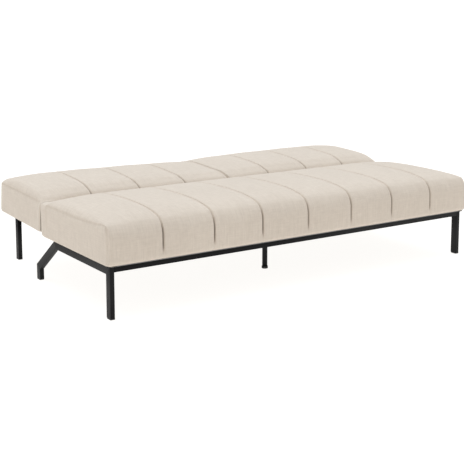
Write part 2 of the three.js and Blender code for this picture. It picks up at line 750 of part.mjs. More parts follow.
function addBack() {
  const low = -BACK_UNDERSIDE;
  const tubeTop = low + INNER_TUBE;
  const tubes = frameTubes(
    BACK_TUBE_OUT, BACK_ARM_X, BACK_FRAME_FRONT_INSET, BACK_FRAME_REAR, low, true);
  delete tubes.centre;
  for (const [name, tube] of Object.entries(tubes)) {
    const body = straightTube(tube.low, tube.high, INNER_WALL, tube.axis);
    addMesh(back, `back_frame_${name}`, body, BARE_STEEL);
  }
  const springFront = BACK_FRAME_FRONT_INSET + INNER_TUBE / 2;
  const springRear = BACK_FRAME_REAR - INNER_TUBE / 2;
  const springReach = BACK_ARM_X;
  const unit = springUnit(springReach, springFront, springRear, tubeTop);
  addMesh(back, 'back_spring_unit', unit, BARE_STEEL);

  const cover = boxBetween(
    [-BACK_TUBE_OUT, GAP + LOWER_EDGE_ROUND + GAP, low - GAP - DUST_COVER_THICK],
    [BACK_TUBE_OUT, BACK_FRAME_REAR, low - GAP],
  );
  addMesh(back, 'back_dust_cover', cover, DUST_CLOTH);

  const grooves = Object.values(tubes).map((tube) => clearanceBox(tube.low, tube.high));
  grooves.push(...springGrooves(springReach, springFront, springRear, tubeTop));
  for (const end of ENDS) {
    const slotX = startX(end, SLOT_IN, SLOT_OUT - SLOT_IN);
    grooves.push(boxBetween(
      [slotX, -GAP, low - GAP],
      [
        slotX + SLOT_OUT - SLOT_IN,
        BACK_FRAME_FRONT_INSET + BACK_ARM_WIDTH + SLOT_MARGIN,
        HUB_RADIUS + SLOT_MARGIN,
      ],
    ));
    const footX = startX(end, BACK_ARM_X, PLATE);
    grooves.push(clearanceBox(
      [footX, BACK_FRAME_FRONT_INSET, low],
      [footX + PLATE, BACK_FRAME_FRONT_INSET + BACK_ARM_FOOT, tubeTop],
    ));
  }
  const cushion = quiltedCushion(backSection(), BACK_SIDE_SEAM, BACK_LENGTH, 1);
  addMesh(back, 'back_cushion', cut(cushion, grooves), FABRIC);
}

// Support legs of the back: plumb tubes under plates that follow the back's slope
function addBackLegs() {
  const upright = new THREE.Group();
  upright.rotation.x = -BACK_TILT;
  back.add(upright);
  const legY = BED_DEPTH / 2 - BACK_LEG_REAR_INSET - TUBE_DEEP / 2 - JOINT_Y;
  const plateTop = -BACK_UNDERSIDE - GAP - DUST_COVER_THICK - GAP;
  const plateBottom = plateTop - LEG_PLATE_THICK;
  const legTop = legY * Math.tan(BACK_TILT) + (plateBottom - GAP) / Math.cos(BACK_TILT);
  const slopeCut = new THREE.Vector2(-Math.cos(BACK_TILT), -Math.sin(BACK_TILT));
  const floor = -AXIS_HEIGHT;
  const path = [
    new THREE.Vector2(legY, floor + PLUG_FLANGE + GAP),
    new THREE.Vector2(legY, legTop),
  ];
  const plateY = legY / Math.cos(BACK_TILT) + legTop * Math.sin(BACK_TILT);
  for (const end of ENDS) {
    const x = startX(end, SIDE - BACK_LEG_SIDE_INSET - TUBE_SLIM, TUBE_SLIM);
    addMesh(upright, `back_leg_${end.name}`, bentTube(path, x, null, slopeCut), BLACK_TUBE);
    const plug = addMesh(upright, `back_foot_plug_${end.name}`, footPlug(x, legY), BLACK_PLASTIC);
    plug.position.z = floor;
    const plateX = x + TUBE_SLIM / 2;
    const plate = boxBetween(
      [plateX - LEG_PLATE_WIDTH / 2, plateY - LEG_PLATE_LENGTH / 2, plateBottom],
      [plateX + LEG_PLATE_WIDTH / 2, plateY + LEG_PLATE_LENGTH / 2, plateTop],
    );
    addMesh(back, `back_leg_plate_${end.name}`, plate, BLACK_TUBE);
  }
}

function polar(degrees, radius) {
  const angle = THREE.MathUtils.degToRad(degrees);
  return new THREE.Vector2(radius * Math.cos(angle), radius * Math.sin(angle));
}

// The back arm's hub carries the ratchet: one tooth for each click, each a radial face and a ramp.
// A tooth meets the pawl's nose when the back stands at its click angle.
function ratchetOutline() {
  const tilt = THREE.MathUtils.radToDeg(BACK_TILT);
  const root = TOOTH_ROOT;
  const faces = [SOFA_ANGLE, LOUNGE_ANGLE].map((click) => NOSE_ANGLE - click - tilt);
  const outline = [polar(faces[0], 0)];
  for (const face of faces) {
    outline.push(polar(face, root), polar(face, TOOTH_OUTER));
    for (const share of [1 / 3, 2 / 3, 1]) {
      const radius = TOOTH_OUTER + share * (root - TOOTH_OUTER);
      outline.push(polar(face + share * TOOTH_RAMP_ANGLE, radius));
    }
  }
  return outline;
}

function backArm(x) {
  const footLow = -BACK_UNDERSIDE;
  const footHigh = footLow + INNER_TUBE;
  const rise = [
    ...circlePoints(0, 0, HUB_RADIUS),
    new THREE.Vector2(BACK_FRAME_FRONT_INSET, footLow),
    new THREE.Vector2(BACK_FRAME_FRONT_INSET + BACK_ARM_WIDTH, footLow),
    new THREE.Vector2(BACK_FRAME_FRONT_INSET + BACK_ARM_WIDTH, footHigh),
  ];
  const foot = boxBetween(
    [x, BACK_FRAME_FRONT_INSET, footLow],
    [x + PLATE, BACK_FRAME_FRONT_INSET + BACK_ARM_FOOT, footHigh],
  );
  const arm = join([
    sidePlate(hullOutline(rise), x, PLATE),
    sidePlate(ratchetOutline(), x, PLATE),
    foot,
  ]);
  return cut(arm, [boreCutter(x, 0, 0, PIVOT_DIAMETER)]);
}

// A round cutter through one plate, round enough for the pin to turn in
function boreCutter(x, y, z, diameter) {
  const outline = circlePoints(y, z, diameter / 2 + PIN_CLEARANCE).slice(0, -1);
  return sidePlate(outline, x - CUT_OVERRUN, PLATE + 2 * CUT_OVERRUN);
}

function seatArm(x) {
  const footLow = SEAT_BASE - AXIS_HEIGHT;
  const footHigh = footLow + INNER_TUBE;
  const heel = -SEAT_FRAME_REAR_INSET;
  const rise = [
    ...circlePoints(0, 0, HUB_RADIUS),
    ...circlePoints(-PAWL_PIN_FORWARD, -PAWL_PIN_DROP, SEAT_ARM_SHOULDER_RADIUS),
    new THREE.Vector2(heel, footLow),
    new THREE.Vector2(heel - SEAT_ARM_WIDTH, footLow),
    new THREE.Vector2(heel - SEAT_ARM_WIDTH, footHigh),
  ];
  const foot = boxBetween([x, heel - SEAT_ARM_FOOT, footLow], [x + PLATE, heel, footHigh]);
  return cut(join([sidePlate(hullOutline(rise), x, PLATE), foot]), [
    boreCutter(x, 0, 0, PIVOT_DIAMETER),
    boreCutter(x, -PAWL_PIN_FORWARD, -PAWL_PIN_DROP, PAWL_PIN_DIAMETER),
  ]);
}

function hingeCheek(x) {
  const outline = hullOutline([
    ...circlePoints(0, 0, HUB_RADIUS),
    ...circlePoints(-PAWL_PIN_FORWARD, -PAWL_PIN_DROP, CHEEK_BOSS_RADIUS),
  ]);
  return cut(sidePlate(outline, x, PLATE), [
    boreCutter(x, 0, 0, PIVOT_DIAMETER),
    boreCutter(x, -PAWL_PIN_FORWARD, -PAWL_PIN_DROP, PAWL_PIN_DIAMETER),
  ]);
}

// The pawl as it stands in a notch, measured from its own pin: a strut from the pin to the nose
function pawl(x) {
  const pin = new THREE.Vector2(-PAWL_PIN_FORWARD, -PAWL_PIN_DROP);
  const face = NOSE_ANGLE - THREE.MathUtils.radToDeg(NOSE_PLAY / TOOTH_OUTER);
  const heel = NOSE_ANGLE - NOSE_WIDTH_ANGLE;
  const noseBase = TOOTH_OUTER + NOSE_PLAY;
  const nose = [
    polar(face, TOOTH_ROOT + NOSE_PLAY),
    polar(face, noseBase + PAWL_BOSS_RADIUS / 2),
    polar(heel - NOSE_WIDTH_ANGLE, noseBase + PAWL_BOSS_RADIUS / 2),
    polar(heel, noseBase),
    polar(heel, TOOTH_ROOT + NOSE_PLAY),
  ].map((point) => point.sub(pin));
  const strut = hullOutline([
    ...circlePoints(0, 0, PAWL_BOSS_RADIUS),
    polar(face, noseBase).sub(pin),
    polar(face, noseBase + PAWL_BOSS_RADIUS / 2).sub(pin),
    polar(heel, noseBase).sub(pin),
  ]);
  const body = join([sidePlate(strut, x, PLATE), sidePlate(nose.reverse(), x, PLATE)]);
  return cut(body, [boreCutter(x, 0, 0, PAWL_PIN_DIAMETER)]);
}

// Leaf spring under the pawl, riveted to the seat arm at its foot; measured from the pawl's pin
function pawlSpring(x) {
  const under = -PAWL_BOSS_RADIUS - GAP - LEAF_THICK / 2;
  const path = [
    new THREE.Vector2(-PAWL_BOSS_RADIUS, under - LEAF_DROP),
    new THREE.Vector2(-PAWL_BOSS_RADIUS, under),
    new THREE.Vector2(LEAF_REACH, under),
  ];
  return sidePlate(stripOutline(path, LEAF_THICK), x, PLATE);
}

// Both hinges: the seat arm and the cheek hold the pins, with the back arm and the pawl between them
function addHinges() {
  for (const end of ENDS) {
    const axis = new THREE.Group();
    axis.position.set(0, JOINT_Y, AXIS_HEIGHT);
    seat.add(axis);
    const armX = startX(end, SEAT_ARM_X, PLATE);
    const middleX = startX(end, BACK_ARM_X, PLATE);
    const cheekX = startX(end, CHEEK_X, PLATE);
    addMesh(axis, `seat_arm_${end.name}`, seatArm(armX), ZINC);
    addMesh(axis, `hinge_cheek_${end.name}`, hingeCheek(cheekX), ZINC);
    addMesh(back, `back_arm_${end.name}`, backArm(middleX), ZINC);

    const low = Math.min(armX, cheekX) - GAP;
    const high = Math.max(armX, cheekX) + PLATE + GAP;
    const pivot = headedPin(low, high, PIVOT_DIAMETER, PIVOT_HEAD_DIAMETER);
    addMesh(axis, `pivot_pin_${end.name}`, pivot, BARE_STEEL);

    const pawlCentre = new THREE.Group();
    pawlCentre.position.set(0, -PAWL_PIN_FORWARD, -PAWL_PIN_DROP);
    axis.add(pawlCentre);
    const pawlPin = headedPin(low, high, PAWL_PIN_DIAMETER, PAWL_PIN_HEAD_DIAMETER);
    addMesh(pawlCentre, `pawl_pin_${end.name}`, pawlPin, BARE_STEEL);
    addMesh(pawlCentre, `pawl_${end.name}`, pawl(middleX), ZINC).rotation.x = -PAWL_TRAVEL;
    addMesh(pawlCentre, `pawl_spring_${end.name}`, pawlSpring(middleX), BARE_STEEL);
  }
}

addSideFrames();
addRails();
addCentreLeg();
addFrameBolts();
addSeat();
addBack();
addBackLegs();
addHinges();

export default group;
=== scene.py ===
import math

import bmesh
import bpy
import numpy as np
from mathutils import Matrix, Vector, noise


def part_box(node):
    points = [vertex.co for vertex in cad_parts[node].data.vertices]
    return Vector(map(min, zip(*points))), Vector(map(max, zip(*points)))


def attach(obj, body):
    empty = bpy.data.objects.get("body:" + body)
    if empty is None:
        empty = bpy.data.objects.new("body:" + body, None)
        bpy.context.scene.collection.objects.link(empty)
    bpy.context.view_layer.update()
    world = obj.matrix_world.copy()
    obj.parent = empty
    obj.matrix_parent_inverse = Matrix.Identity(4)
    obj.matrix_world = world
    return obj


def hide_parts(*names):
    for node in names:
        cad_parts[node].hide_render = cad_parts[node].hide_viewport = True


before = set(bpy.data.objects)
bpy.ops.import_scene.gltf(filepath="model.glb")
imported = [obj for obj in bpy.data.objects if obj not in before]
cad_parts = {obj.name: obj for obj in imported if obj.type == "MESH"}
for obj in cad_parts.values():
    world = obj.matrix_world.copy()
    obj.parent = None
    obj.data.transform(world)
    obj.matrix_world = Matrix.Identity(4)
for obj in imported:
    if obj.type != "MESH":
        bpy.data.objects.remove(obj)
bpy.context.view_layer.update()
scene = bpy.context.scene
MM = 0.001

# Studio: a plain white light table, evenly lit through its dull opal top, under an even soft sky,
# with one very large soft lamp high above and a little behind, that gives the cushions their form.
# The camera stands at the photograph's viewing angle.
camera_data = bpy.data.cameras.new("camera")
camera_data.lens = 79.82
camera_data.sensor_width = 36
camera_data.shift_y = -0.2
camera_data.clip_end = 1000
camera = bpy.data.objects.new("camera", camera_data)
camera.location = (-2.7657, -4.1263, 1.2898)
camera.rotation_euler = (math.radians(90 - 8.018), 0, math.radians(-33.599))
scene.collection.objects.link(camera)
scene.camera = camera
scene.view_settings.view_transform = "Standard"


def linear(hex_colour):
    channels = [int(hex_colour[i:i + 2], 16) / 255 for i in (1, 3, 5)]
    return [c / 12.92 if c <= 0.04045 else ((c + 0.055) / 1.055) ** 2.4 for c in channels] + [1]


def add_node(tree, kind, inputs=None, **settings):
    """Adds a node, sets its properties, and gives its inputs their values or links."""
    node = tree.nodes.new("ShaderNode" + kind)
    for name, value in settings.items():
        setattr(node, name, value)
    for name, source in (inputs or {}).items():
        if isinstance(source, bpy.types.NodeSocket):
            tree.links.new(source, node.inputs[name])
        else:
            node.inputs[name].default_value = source
    return node


def new_material(name):
    made = bpy.data.materials.new(name)
    made.use_nodes = True
    tree = made.node_tree
    return made, tree, tree.nodes["Principled BSDF"]


sky = bpy.data.worlds.new("studio_sky")
sky.use_nodes = True
sky.node_tree.nodes["Background"].inputs["Color"].default_value = (1, 1, 1, 1)
sky.node_tree.nodes["Background"].inputs["Strength"].default_value = 0.6
scene.world = sky

lamp_data = bpy.data.lights.new("soft_lamp", "SUN")
lamp_data.energy = 1.9
lamp_data.angle = math.radians(70)
lamp_data.color = (0.94, 1.0, 1.07)
lamp = bpy.data.objects.new("soft_lamp", lamp_data)
lamp.rotation_euler = Vector((-0.05, -0.24, -1)).to_track_quat("-Z", "Y").to_euler()
scene.collection.objects.link(lamp)

floor_mesh = bpy.data.meshes.new("light_table")
FLOOR_REACH = 400
floor_mesh.from_pydata(
    [(x * FLOOR_REACH, y * FLOOR_REACH, 0) for x, y in ((-1, -1), (1, -1), (1, 1), (-1, 1))],
    [], [(0, 1, 2, 3)])
floor = bpy.data.objects.new("light_table", floor_mesh)
scene.collection.objects.link(floor)
# Opal acrylic, sanded dull and lit from below: an even white that takes only the softest shadow
opal_acrylic, tree, shader = new_material("opal_acrylic")
shader.inputs["Base Color"].default_value = linear("#747474")
shader.inputs["Roughness"].default_value = 0.9
shader.inputs["Specular IOR Level"].default_value = 0.1
shader.inputs["Emission Color"].default_value = linear("#FFFDFA")
shader.inputs["Emission Strength"].default_value = 0.96
floor_mesh.materials.append(opal_acrylic)


# Side frames: at each end a front leg, a side rail, a slanted strut and a foot, cut from flat
# welded steel tube, mitred, welded all round, ground nearly flush and powder-coated black.
TUBE_SLIM, TUBE_DEEP = 20 * MM, 32 * MM
# The photograph's tube is a little deeper than the CAD's, by about this much on each side
TUBE_PROUD = 2 * MM
TUBE_CORNER = 1.5 * MM
CORNER_STEPS = 3
BEAD_RISE = 0.35 * MM
BEAD_REACH = 3.0 * MM
END_NAMES = ("left", "right")


def new_piece(name, mesh, material, body, smooth=True):
    """Links a mesh as a piece that rides on a body."""
    piece = bpy.data.objects.new(name, mesh)
    scene.collection.objects.link(piece)
    mesh.materials.append(material)
    if smooth:
        mesh.shade_smooth()
    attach(piece, body)
    return piece


def rounded_ring(half_width, half_height, radius, rise=0.0):
    """Points of a rectangle with rounded corners, anticlockwise, grown by rise."""
    ring = []
    for turn, (sx, sy) in enumerate(((1, 1), (-1, 1), (-1, -1), (1, -1))):
        for step in range(CORNER_STEPS + 1):
            angle = math.radians(90) * (turn + step / CORNER_STEPS)
            ring.append((
                sx * (half_width - radius) + (radius + rise) * math.cos(angle),
                sy * (half_height - radius) + (radius + rise) * math.sin(angle)))
    return ring


def skin(mesh, rings):
    """Joins a row of rings into a skin, and closes it at both ends."""
    count = len(rings[0])
    for low, high in zip(rings, rings[1:]):
        for i in range(count):
            j = (i + 1) % count
            mesh.faces.new((low[i], low[j], high[j], high[i]))
    mesh.faces.new(reversed(rings[0]))
    mesh.faces.new(rings[-1])


def finished(name, built):
    """Turns what was built into a mesh, with its faces looking outwards."""
    bmesh.ops.recalc_face_normals(built, faces=built.faces)
    made = bpy.data.meshes.new(name)
    built.to_mesh(made)
    built.free()
    return made


def tube_mesh(name, path, across, half_across, half_deep):
    """Sweeps a rounded rectangle along a mitred path, with a weld bead round each bend. across is
    the direction that stays square to every stretch; half_across is measured along it and
    half_deep square to it."""
    path = [Vector(p) for p in path]
    across = Vector(across)
    runs = [(b - a).normalized() for a, b in zip(path, path[1:])]
    stations = []
    for i, point in enumerate(path):
        before = runs[max(i - 1, 0)]
        after = runs[min(i, len(runs) - 1)]
        bend = 0 < i < len(path) - 1
        for offset in (-1, -0.5, 0, 0.5, 1) if bend else (0,):
            run = before if offset < 0 else after
            rise = BEAD_RISE * (1 - abs(offset)) if bend else 0
            stations.append((point + run * offset * BEAD_REACH, before, after, rise))
    mesh = bmesh.new()
    rings = []
    for point, before, after, rise in stations:
        normal = (before + after).normalized()
        up = before.cross(across)
        slant = normal.cross(across).normalized()
        stretch = 1 / slant.dot(up)
        ring = rounded_ring(half_across, half_deep, TUBE_CORNER, rise)
        rings.append([
            mesh.verts.new(point + across * a + slant * b * stretch) for a, b in ring])
    skin(mesh, rings)
    return finished(name, mesh)


def vary_surface(tree, shader, pattern, colours, roughness):
    """Lets a pattern run a shader's colour and its roughness between two values each."""
    dark, pale = colours
    smooth, dull = roughness
    shade = add_node(tree, "MixRGB", {
        "Fac": pattern, "Color1": linear(dark), "Color2": linear(pale)})
    rough = add_node(tree, "MapRange", {"Value": pattern, "To Min": smooth, "To Max": dull})
    tree.links.new(shade.outputs["Color"], shader.inputs["Base Color"])
    tree.links.new(rough.outputs["Result"], shader.inputs["Roughness"])


# Satin black powder coat on steel: near black, a soft broad gloss, and the faint orange peel
# that the baked powder leaves.
PEEL_PITCH = 1.43 * MM
COAT_CLOUDS = 111 * MM
powder_coat, tree, shader = new_material("powder_coated_steel")
place = add_node(tree, "TexCoord").outputs["Object"]
peel = add_node(tree, "TexNoise", {"Vector": place, "Scale": 1 / PEEL_PITCH, "Detail": 2})
clouds = add_node(tree, "TexNoise", {"Vector": place, "Scale": 1 / COAT_CLOUDS, "Detail": 3})
vary_surface(tree, shader, clouds.outputs["Fac"], ("#0B0B0C", "#141415"), (0.42, 0.54))
bump = add_node(tree, "Bump", {
    "Height": peel.outputs["Fac"], "Strength": 0.12, "Distance": 0.3 * MM})
tree.links.new(bump.outputs["Normal"], shader.inputs["Normal"])
shader.inputs["IOR"].default_value = 1.25

for end in END_NAMES:
    leg_low, leg_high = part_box(f"front_leg_{end}")
    rail_low, rail_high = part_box(f"side_rail_{end}")
    rear_low, rear_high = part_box(f"rear_leg_{end}")
    x = (leg_low.x + leg_high.x) / 2
    half_deep = TUBE_DEEP / 2 + TUBE_PROUD
    leg_y = leg_low.y + half_deep
    rail_z = rail_high.z - half_deep
    foot_y = rear_high.y - TUBE_DEEP / 2
    # The strut's centre line runs at half the tube's depth under its top face, and meets the
    # rail and the foot where the centre lines cross
    side_verts = np.array([v.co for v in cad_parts[f"rear_leg_{end}"].data.vertices])
    bend_high = float(side_verts[np.abs(side_verts[:, 1] - rear_high.y) < 1e-5][:, 2].max())
    top_edge = float(side_verts[np.abs(side_verts[:, 2] - rear_high.z) < 1e-5][:, 1].min())
    angle = math.atan((rear_high.z - bend_high) / (rear_high.y - top_edge))
    bend_z = bend_high + TUBE_DEEP / 2 * math.tan(angle) - half_deep / math.cos(angle)
    elbow_y = top_edge - half_deep * math.tan(angle / 2)
    path = [
        (x, leg_y, leg_low.z), (x, leg_y, rail_z), (x, elbow_y, rail_z),
        (x, foot_y, bend_z), (x, foot_y, rear_low.z)]
    mesh = tube_mesh(f"side_frame_{end}", path, (1, 0, 0), TUBE_SLIM / 2, half_deep)
    side_frame = new_piece(f"side_frame_{end}", mesh, powder_coat, "base")
    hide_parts(f"front_leg_{end}", f"side_rail_{end}", f"rear_leg_{end}")


# Front rail, rear cross rail and centre brace: flat black tube like the side frames', laid level,
# cut square and butt-welded between them.
for name in ("front_rail", "rear_cross_rail"):
    low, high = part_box(name)
    middle = (low + high) / 2
    level = high.z - TUBE_SLIM / 2 - TUBE_PROUD
    path = [(low.x, middle.y, level), (high.x, middle.y, level)]
    mesh = tube_mesh(name + "_tube", path, (0, 1, 0), TUBE_DEEP / 2, TUBE_SLIM / 2 + TUBE_PROUD)
    rail = new_piece(name + "_tube", mesh, powder_coat, "base")
    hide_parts(name)
low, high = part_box("centre_brace")
middle = (low + high) / 2
path = [(middle.x, low.y, middle.z), (middle.x, high.y, middle.z)]
mesh = tube_mesh("centre_brace_tube", path, (1, 0, 0), TUBE_DEEP / 2, TUBE_SLIM / 2)
brace = new_piece("centre_brace_tube", mesh, powder_coat, "base")
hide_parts("centre_brace")


# Centre leg: a 25 mm round tube fillet-welded under a square plate, standing in a moulded
# black glide that is pushed over its end.
def turned_mesh(name, profile, centre, steps=48):
    """Turns a profile of (radius, height) about an upright axis."""
    mesh = bmesh.new()
    rings = []
    for radius, height in profile:
        if radius < 1e-6:
            rings.append([mesh.verts.new((centre[0], centre[1], height))])
            continue
        rings.append([
            mesh.verts.new((
                centre[0] + radius * math.cos(math.tau * i / steps),
                centre[1] + radius * math.sin(math.tau * i / steps), height))
            for i in range(steps)])
    for low, high in zip(rings, rings[1:]):
        for i in range(steps):
            j = (i + 1) % steps
            corners = [low[i % len(low)], low[j % len(low)],
                       high[j % len(high)], high[i % len(high)]]
            mesh.faces.new(list(dict.fromkeys(corners)))
    return finished(name, mesh)


low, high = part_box("centre_leg")
centre = ((low.x + high.x) / 2, (low.y + high.y) / 2)
LEG_RADIUS = 12.5 * MM
LEG_WALL = 1.5 * MM
PLATE_THICK = 3 * MM
PLATE_CORNER = 5 * MM
PLATE_EDGE = 0.6 * MM
# The fillet weld round the leg's top: how far it stands out, and how far it lies under the plate
FILLET = ((0, 5), (0.8, 2.5), (3, 0.5), (4, -0.2))
under_plate = high.z - PLATE_THICK
leg_profile = [(0, low.z), (LEG_RADIUS - LEG_WALL, low.z), (LEG_RADIUS, low.z)]
leg_profile += [(LEG_RADIUS + out * MM, under_plate - down * MM) for out, down in FILLET]
leg_profile.append((0, leg_profile[-1][1]))
mesh = turned_mesh("centre_leg_tube", leg_profile, centre)
leg = new_piece("centre_leg_tube", mesh, powder_coat, "base")
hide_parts("centre_leg")
half = (high.x - low.x) / 2
plate = bmesh.new()
rings = []
for height, inset in (
        (under_plate, PLATE_EDGE), (under_plate + PLATE_EDGE, 0),
        (high.z - PLATE_EDGE, 0), (high.z, PLATE_EDGE)):
    ring = rounded_ring(half - inset, half - inset, PLATE_CORNER)
    rings.append([plate.verts.new((centre[0] + a, centre[1] + b, height)) for a, b in ring])
skin(plate, rings)
mesh = finished("centre_leg_plate", plate)
new_piece("centre_leg_plate", mesh, powder_coat, "base", smooth=False)

# Moulded ABS, straight from a spark-eroded tool: black, dull, with a fine even grain and the
# scuffs of moving house. The grain is drawn coarser than it is, so that it shows.
GRAIN_PITCH = 0.714 * MM
SCUFF_SIZE = 16.7 * MM
moulded_abs, tree, shader = new_material("moulded_black_abs")
place = add_node(tree, "TexCoord").outputs["Object"]
grain = add_node(tree, "TexNoise", {"Vector": place, "Scale": 1 / GRAIN_PITCH, "Detail": 3})
scuffs = add_node(tree, "TexNoise", {"Vector": place, "Scale": 1 / SCUFF_SIZE, "Detail": 5})
vary_surface(tree, shader, scuffs.outputs["Fac"], ("#0E0E0E", "#1C1C1C"), (0.5, 0.68))
bump = add_node(tree, "Bump", {
    "Height": grain.outputs["Fac"], "Strength": 0.25, "Distance": 0.2 * MM})
tree.links.new(bump.outputs["Normal"], shader.inputs["Normal"])
shader.inputs["IOR"].default_value = 1.53

low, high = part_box("centre_glide")
radius = (high.x - low.x) / 2
socket_radius = LEG_RADIUS + 0.2 * MM
SOCKET_SHOWN = 3 * MM
# The glide's lower and upper rounding: how far in from its side, and how far from its end
FOOT_ROUND = ((1.5, 0), (0.4, 0.4), (0, 1.5))
LIP_ROUND = ((0, 2), (0.6, 0.6), (1.8, 0))
glide_profile = [(0, low.z)]
glide_profile += [(radius - inward * MM, low.z + up * MM) for inward, up in FOOT_ROUND]
glide_profile += [(radius - inward * MM, high.z - down * MM) for inward, down in LIP_ROUND]
glide_profile += [(socket_radius, high.z), (socket_radius, high.z - SOCKET_SHOWN),
                  (0, high.z - SOCKET_SHOWN)]
mesh = turned_mesh("centre_foot_glide", glide_profile, centre)
glide = new_piece("centre_foot_glide", mesh, moulded_abs, "base")
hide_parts("centre_glide")


# Foot plugs: moulded caps pushed into the tube ends, with a flange that the bed stands on.
def finish_node(name, material, edge):
    """Gives a CAD node its material and takes the sharpness off its edges."""
    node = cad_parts[name]
    for slot in node.material_slots:
        slot.material = material
    weld = node.modifiers.new("weld", "WELD")
    weld.merge_threshold = 0.02 * MM
    soft = node.modifiers.new("edge", "BEVEL")
    soft.width = edge
    soft.segments = 2
    soft.limit_method = "ANGLE"
    soft.angle_limit = math.radians(35)


for end in END_NAMES:
    for name in ("front_foot_plug_", "rear_foot_plug_", "back_foot_plug_"):
        finish_node(name + end, moulded_abs, edge=0.6 * MM)


# Frame bolts: zinc-plated hexagon bolts, up through the side rails into the seat's own frame.
# The plating gives bright steel a cool grey, cloudy gloss over its fine tumbled grain.
BLOTCH_SIZE = 18.2 * MM
TUMBLED_GRAIN = 1.11 * MM
zinc_plate, tree, shader = new_material("zinc_plated_steel")
place = add_node(tree, "TexCoord").outputs["Object"]
blotches = add_node(tree, "TexNoise", {"Vector": place, "Scale": 1 / BLOTCH_SIZE, "Detail": 4})
tumbled = add_node(tree, "TexNoise", {"Vector": place, "Scale": 1 / TUMBLED_GRAIN, "Detail": 2})
vary_surface(tree, shader, blotches.outputs["Fac"], ("#A3A7AC", "#C9CBCB"), (0.28, 0.46))
bump = add_node(tree, "Bump", {
    "Height": tumbled.outputs["Fac"], "Strength": 0.15, "Distance": 0.2 * MM})
tree.links.new(bump.outputs["Normal"], shader.inputs["Normal"])
shader.inputs["Metallic"].default_value = 1.0

for end in END_NAMES:
    for name in ("frame_bolt_front_", "frame_bolt_rear_"):
        finish_node(name + end, zinc_plate, edge=0.5 * MM)


# Seat frame: 25 mm square tube, welded, left bare inside the cushion. Drawn tube is smooth and
# grey, with a faint blue-brown bloom from its mill and the small marks of the die.
BLOOM_SIZE = 71.4 * MM
DIE_MARKS = 2.38 * MM
drawn_tube, tree, shader = new_material("bare_drawn_steel_tube")
place = add_node(tree, "TexCoord").outputs["Object"]
bloom = add_node(tree, "TexNoise", {"Vector": place, "Scale": 1 / BLOOM_SIZE, "Detail": 5})
marks = add_node(tree, "TexNoise", {"Vector": place, "Scale": 1 / DIE_MARKS, "Detail": 2})
vary_surface(tree, shader, bloom.outputs["Fac"], ("#6C6F73", "#938E88"), (0.34, 0.55))
bump = add_node(tree, "Bump", {
    "Height": marks.outputs["Fac"], "Strength": 0.12, "Distance": 0.2 * MM})
tree.links.new(bump.outputs["Normal"], shader.inputs["Normal"])
shader.inputs["Metallic"].default_value = 1.0

for name in ("front", "rear", "left", "right", "centre"):
    finish_node("seat_frame_" + name, drawn_tube, edge=1.2 * MM)


# Seat springs: six zigzag springs of 4 mm round wire, bent in half circles, hooked over the front
# and rear tubes and tied across by two straight wires.
SPRING_WIRE = 4 * MM
TIE_WIRE = 3 * MM
SPRING_PITCH = 26 * MM
SPRING_HALF_WIDTH = 22 * MM
SPRING_COUNT = 6
TIE_SHARES = (0.35, 0.68)
TIE_GAP = 2 * MM
BEND_STEPS = 6

# Oil-tempered wire: the quench leaves a thin brown-black scale, smooth, with an uneven oily gloss
OIL_STAINS = 12.5 * MM
spring_wire, tree, shader = new_material("oil_tempered_spring_wire")
place = add_node(tree, "TexCoord").outputs["Object"]
oil = add_node(tree, "TexNoise", {"Vector": place, "Scale": 1 / OIL_STAINS, "Detail": 4})
vary_surface(tree, shader, oil.outputs["Fac"], ("#2E2D2E", "#55524E"), (0.3, 0.5))
shader.inputs["Metallic"].default_value = 1.0


def add_wire(mesh, path, radius, sides=8):
    """Adds a round wire along a path that lies level."""
    path = [Vector(p) for p in path]
    rings = []
    for i, point in enumerate(path):
        run = (path[min(i + 1, len(path) - 1)] - path[max(i - 1, 0)]).normalized()
        aside = Vector((-run.y, run.x, 0)).normalized()
        turns = [math.tau * k / sides for k in range(sides)]
        rings.append([
            mesh.verts.new(point + radius * (aside * math.cos(t) + Vector((0, 0, math.sin(t)))))
            for t in turns])
    skin(mesh, rings)


def spring_mesh(name, low, high, front, rear):
    """Zigzag springs and their ties inside a box, tied at shares of the way from front to rear."""
    reach = high.x
    turns = round((high.y - low.y - SPRING_WIRE) / SPRING_PITCH)
    start = (low.y + high.y - turns * SPRING_PITCH) / 2
    level = low.z + SPRING_WIRE / 2
    bend = SPRING_PITCH / 2
    mesh = bmesh.new()
    for k in range(SPRING_COUNT):
        centre = ((2 * k + 1) / SPRING_COUNT - 1) * reach
        path = [(centre - SPRING_HALF_WIDTH, start, level)]
        for turn in range(turns):
            way = -1 if turn % 2 else 1
            middle_x = centre + way * (SPRING_HALF_WIDTH - bend)
            middle_y = start + (turn + 0.5) * SPRING_PITCH
            for step in range(BEND_STEPS + 1):
                angle = math.pi * (step / BEND_STEPS - 0.5)
                path.append((middle_x + way * bend * math.cos(angle),
                             middle_y + bend * math.sin(angle), level))
        way = -1 if turns % 2 else 1
        path.append((centre + way * SPRING_HALF_WIDTH, start + turns * SPRING_PITCH, level))
        add_wire(mesh, path, SPRING_WIRE / 2)
    for share in TIE_SHARES:
        y = front + share * (rear - front)
        add_wire(mesh, [(x, y, level) for x in np.linspace(TIE_GAP - reach, reach - TIE_GAP, 25)],
                 TIE_WIRE / 2)
    return finished(name, mesh)


low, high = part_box("seat_spring_unit")
tube_low, tube_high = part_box("seat_frame_left")
half_tube = (tube_high.x - tube_low.x) / 2
mesh = spring_mesh("seat_springs", low, high, tube_low.y + half_tube, tube_high.y - half_tube)
springs = new_piece("seat_springs", mesh, spring_wire, "base")
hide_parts("seat_spring_unit")


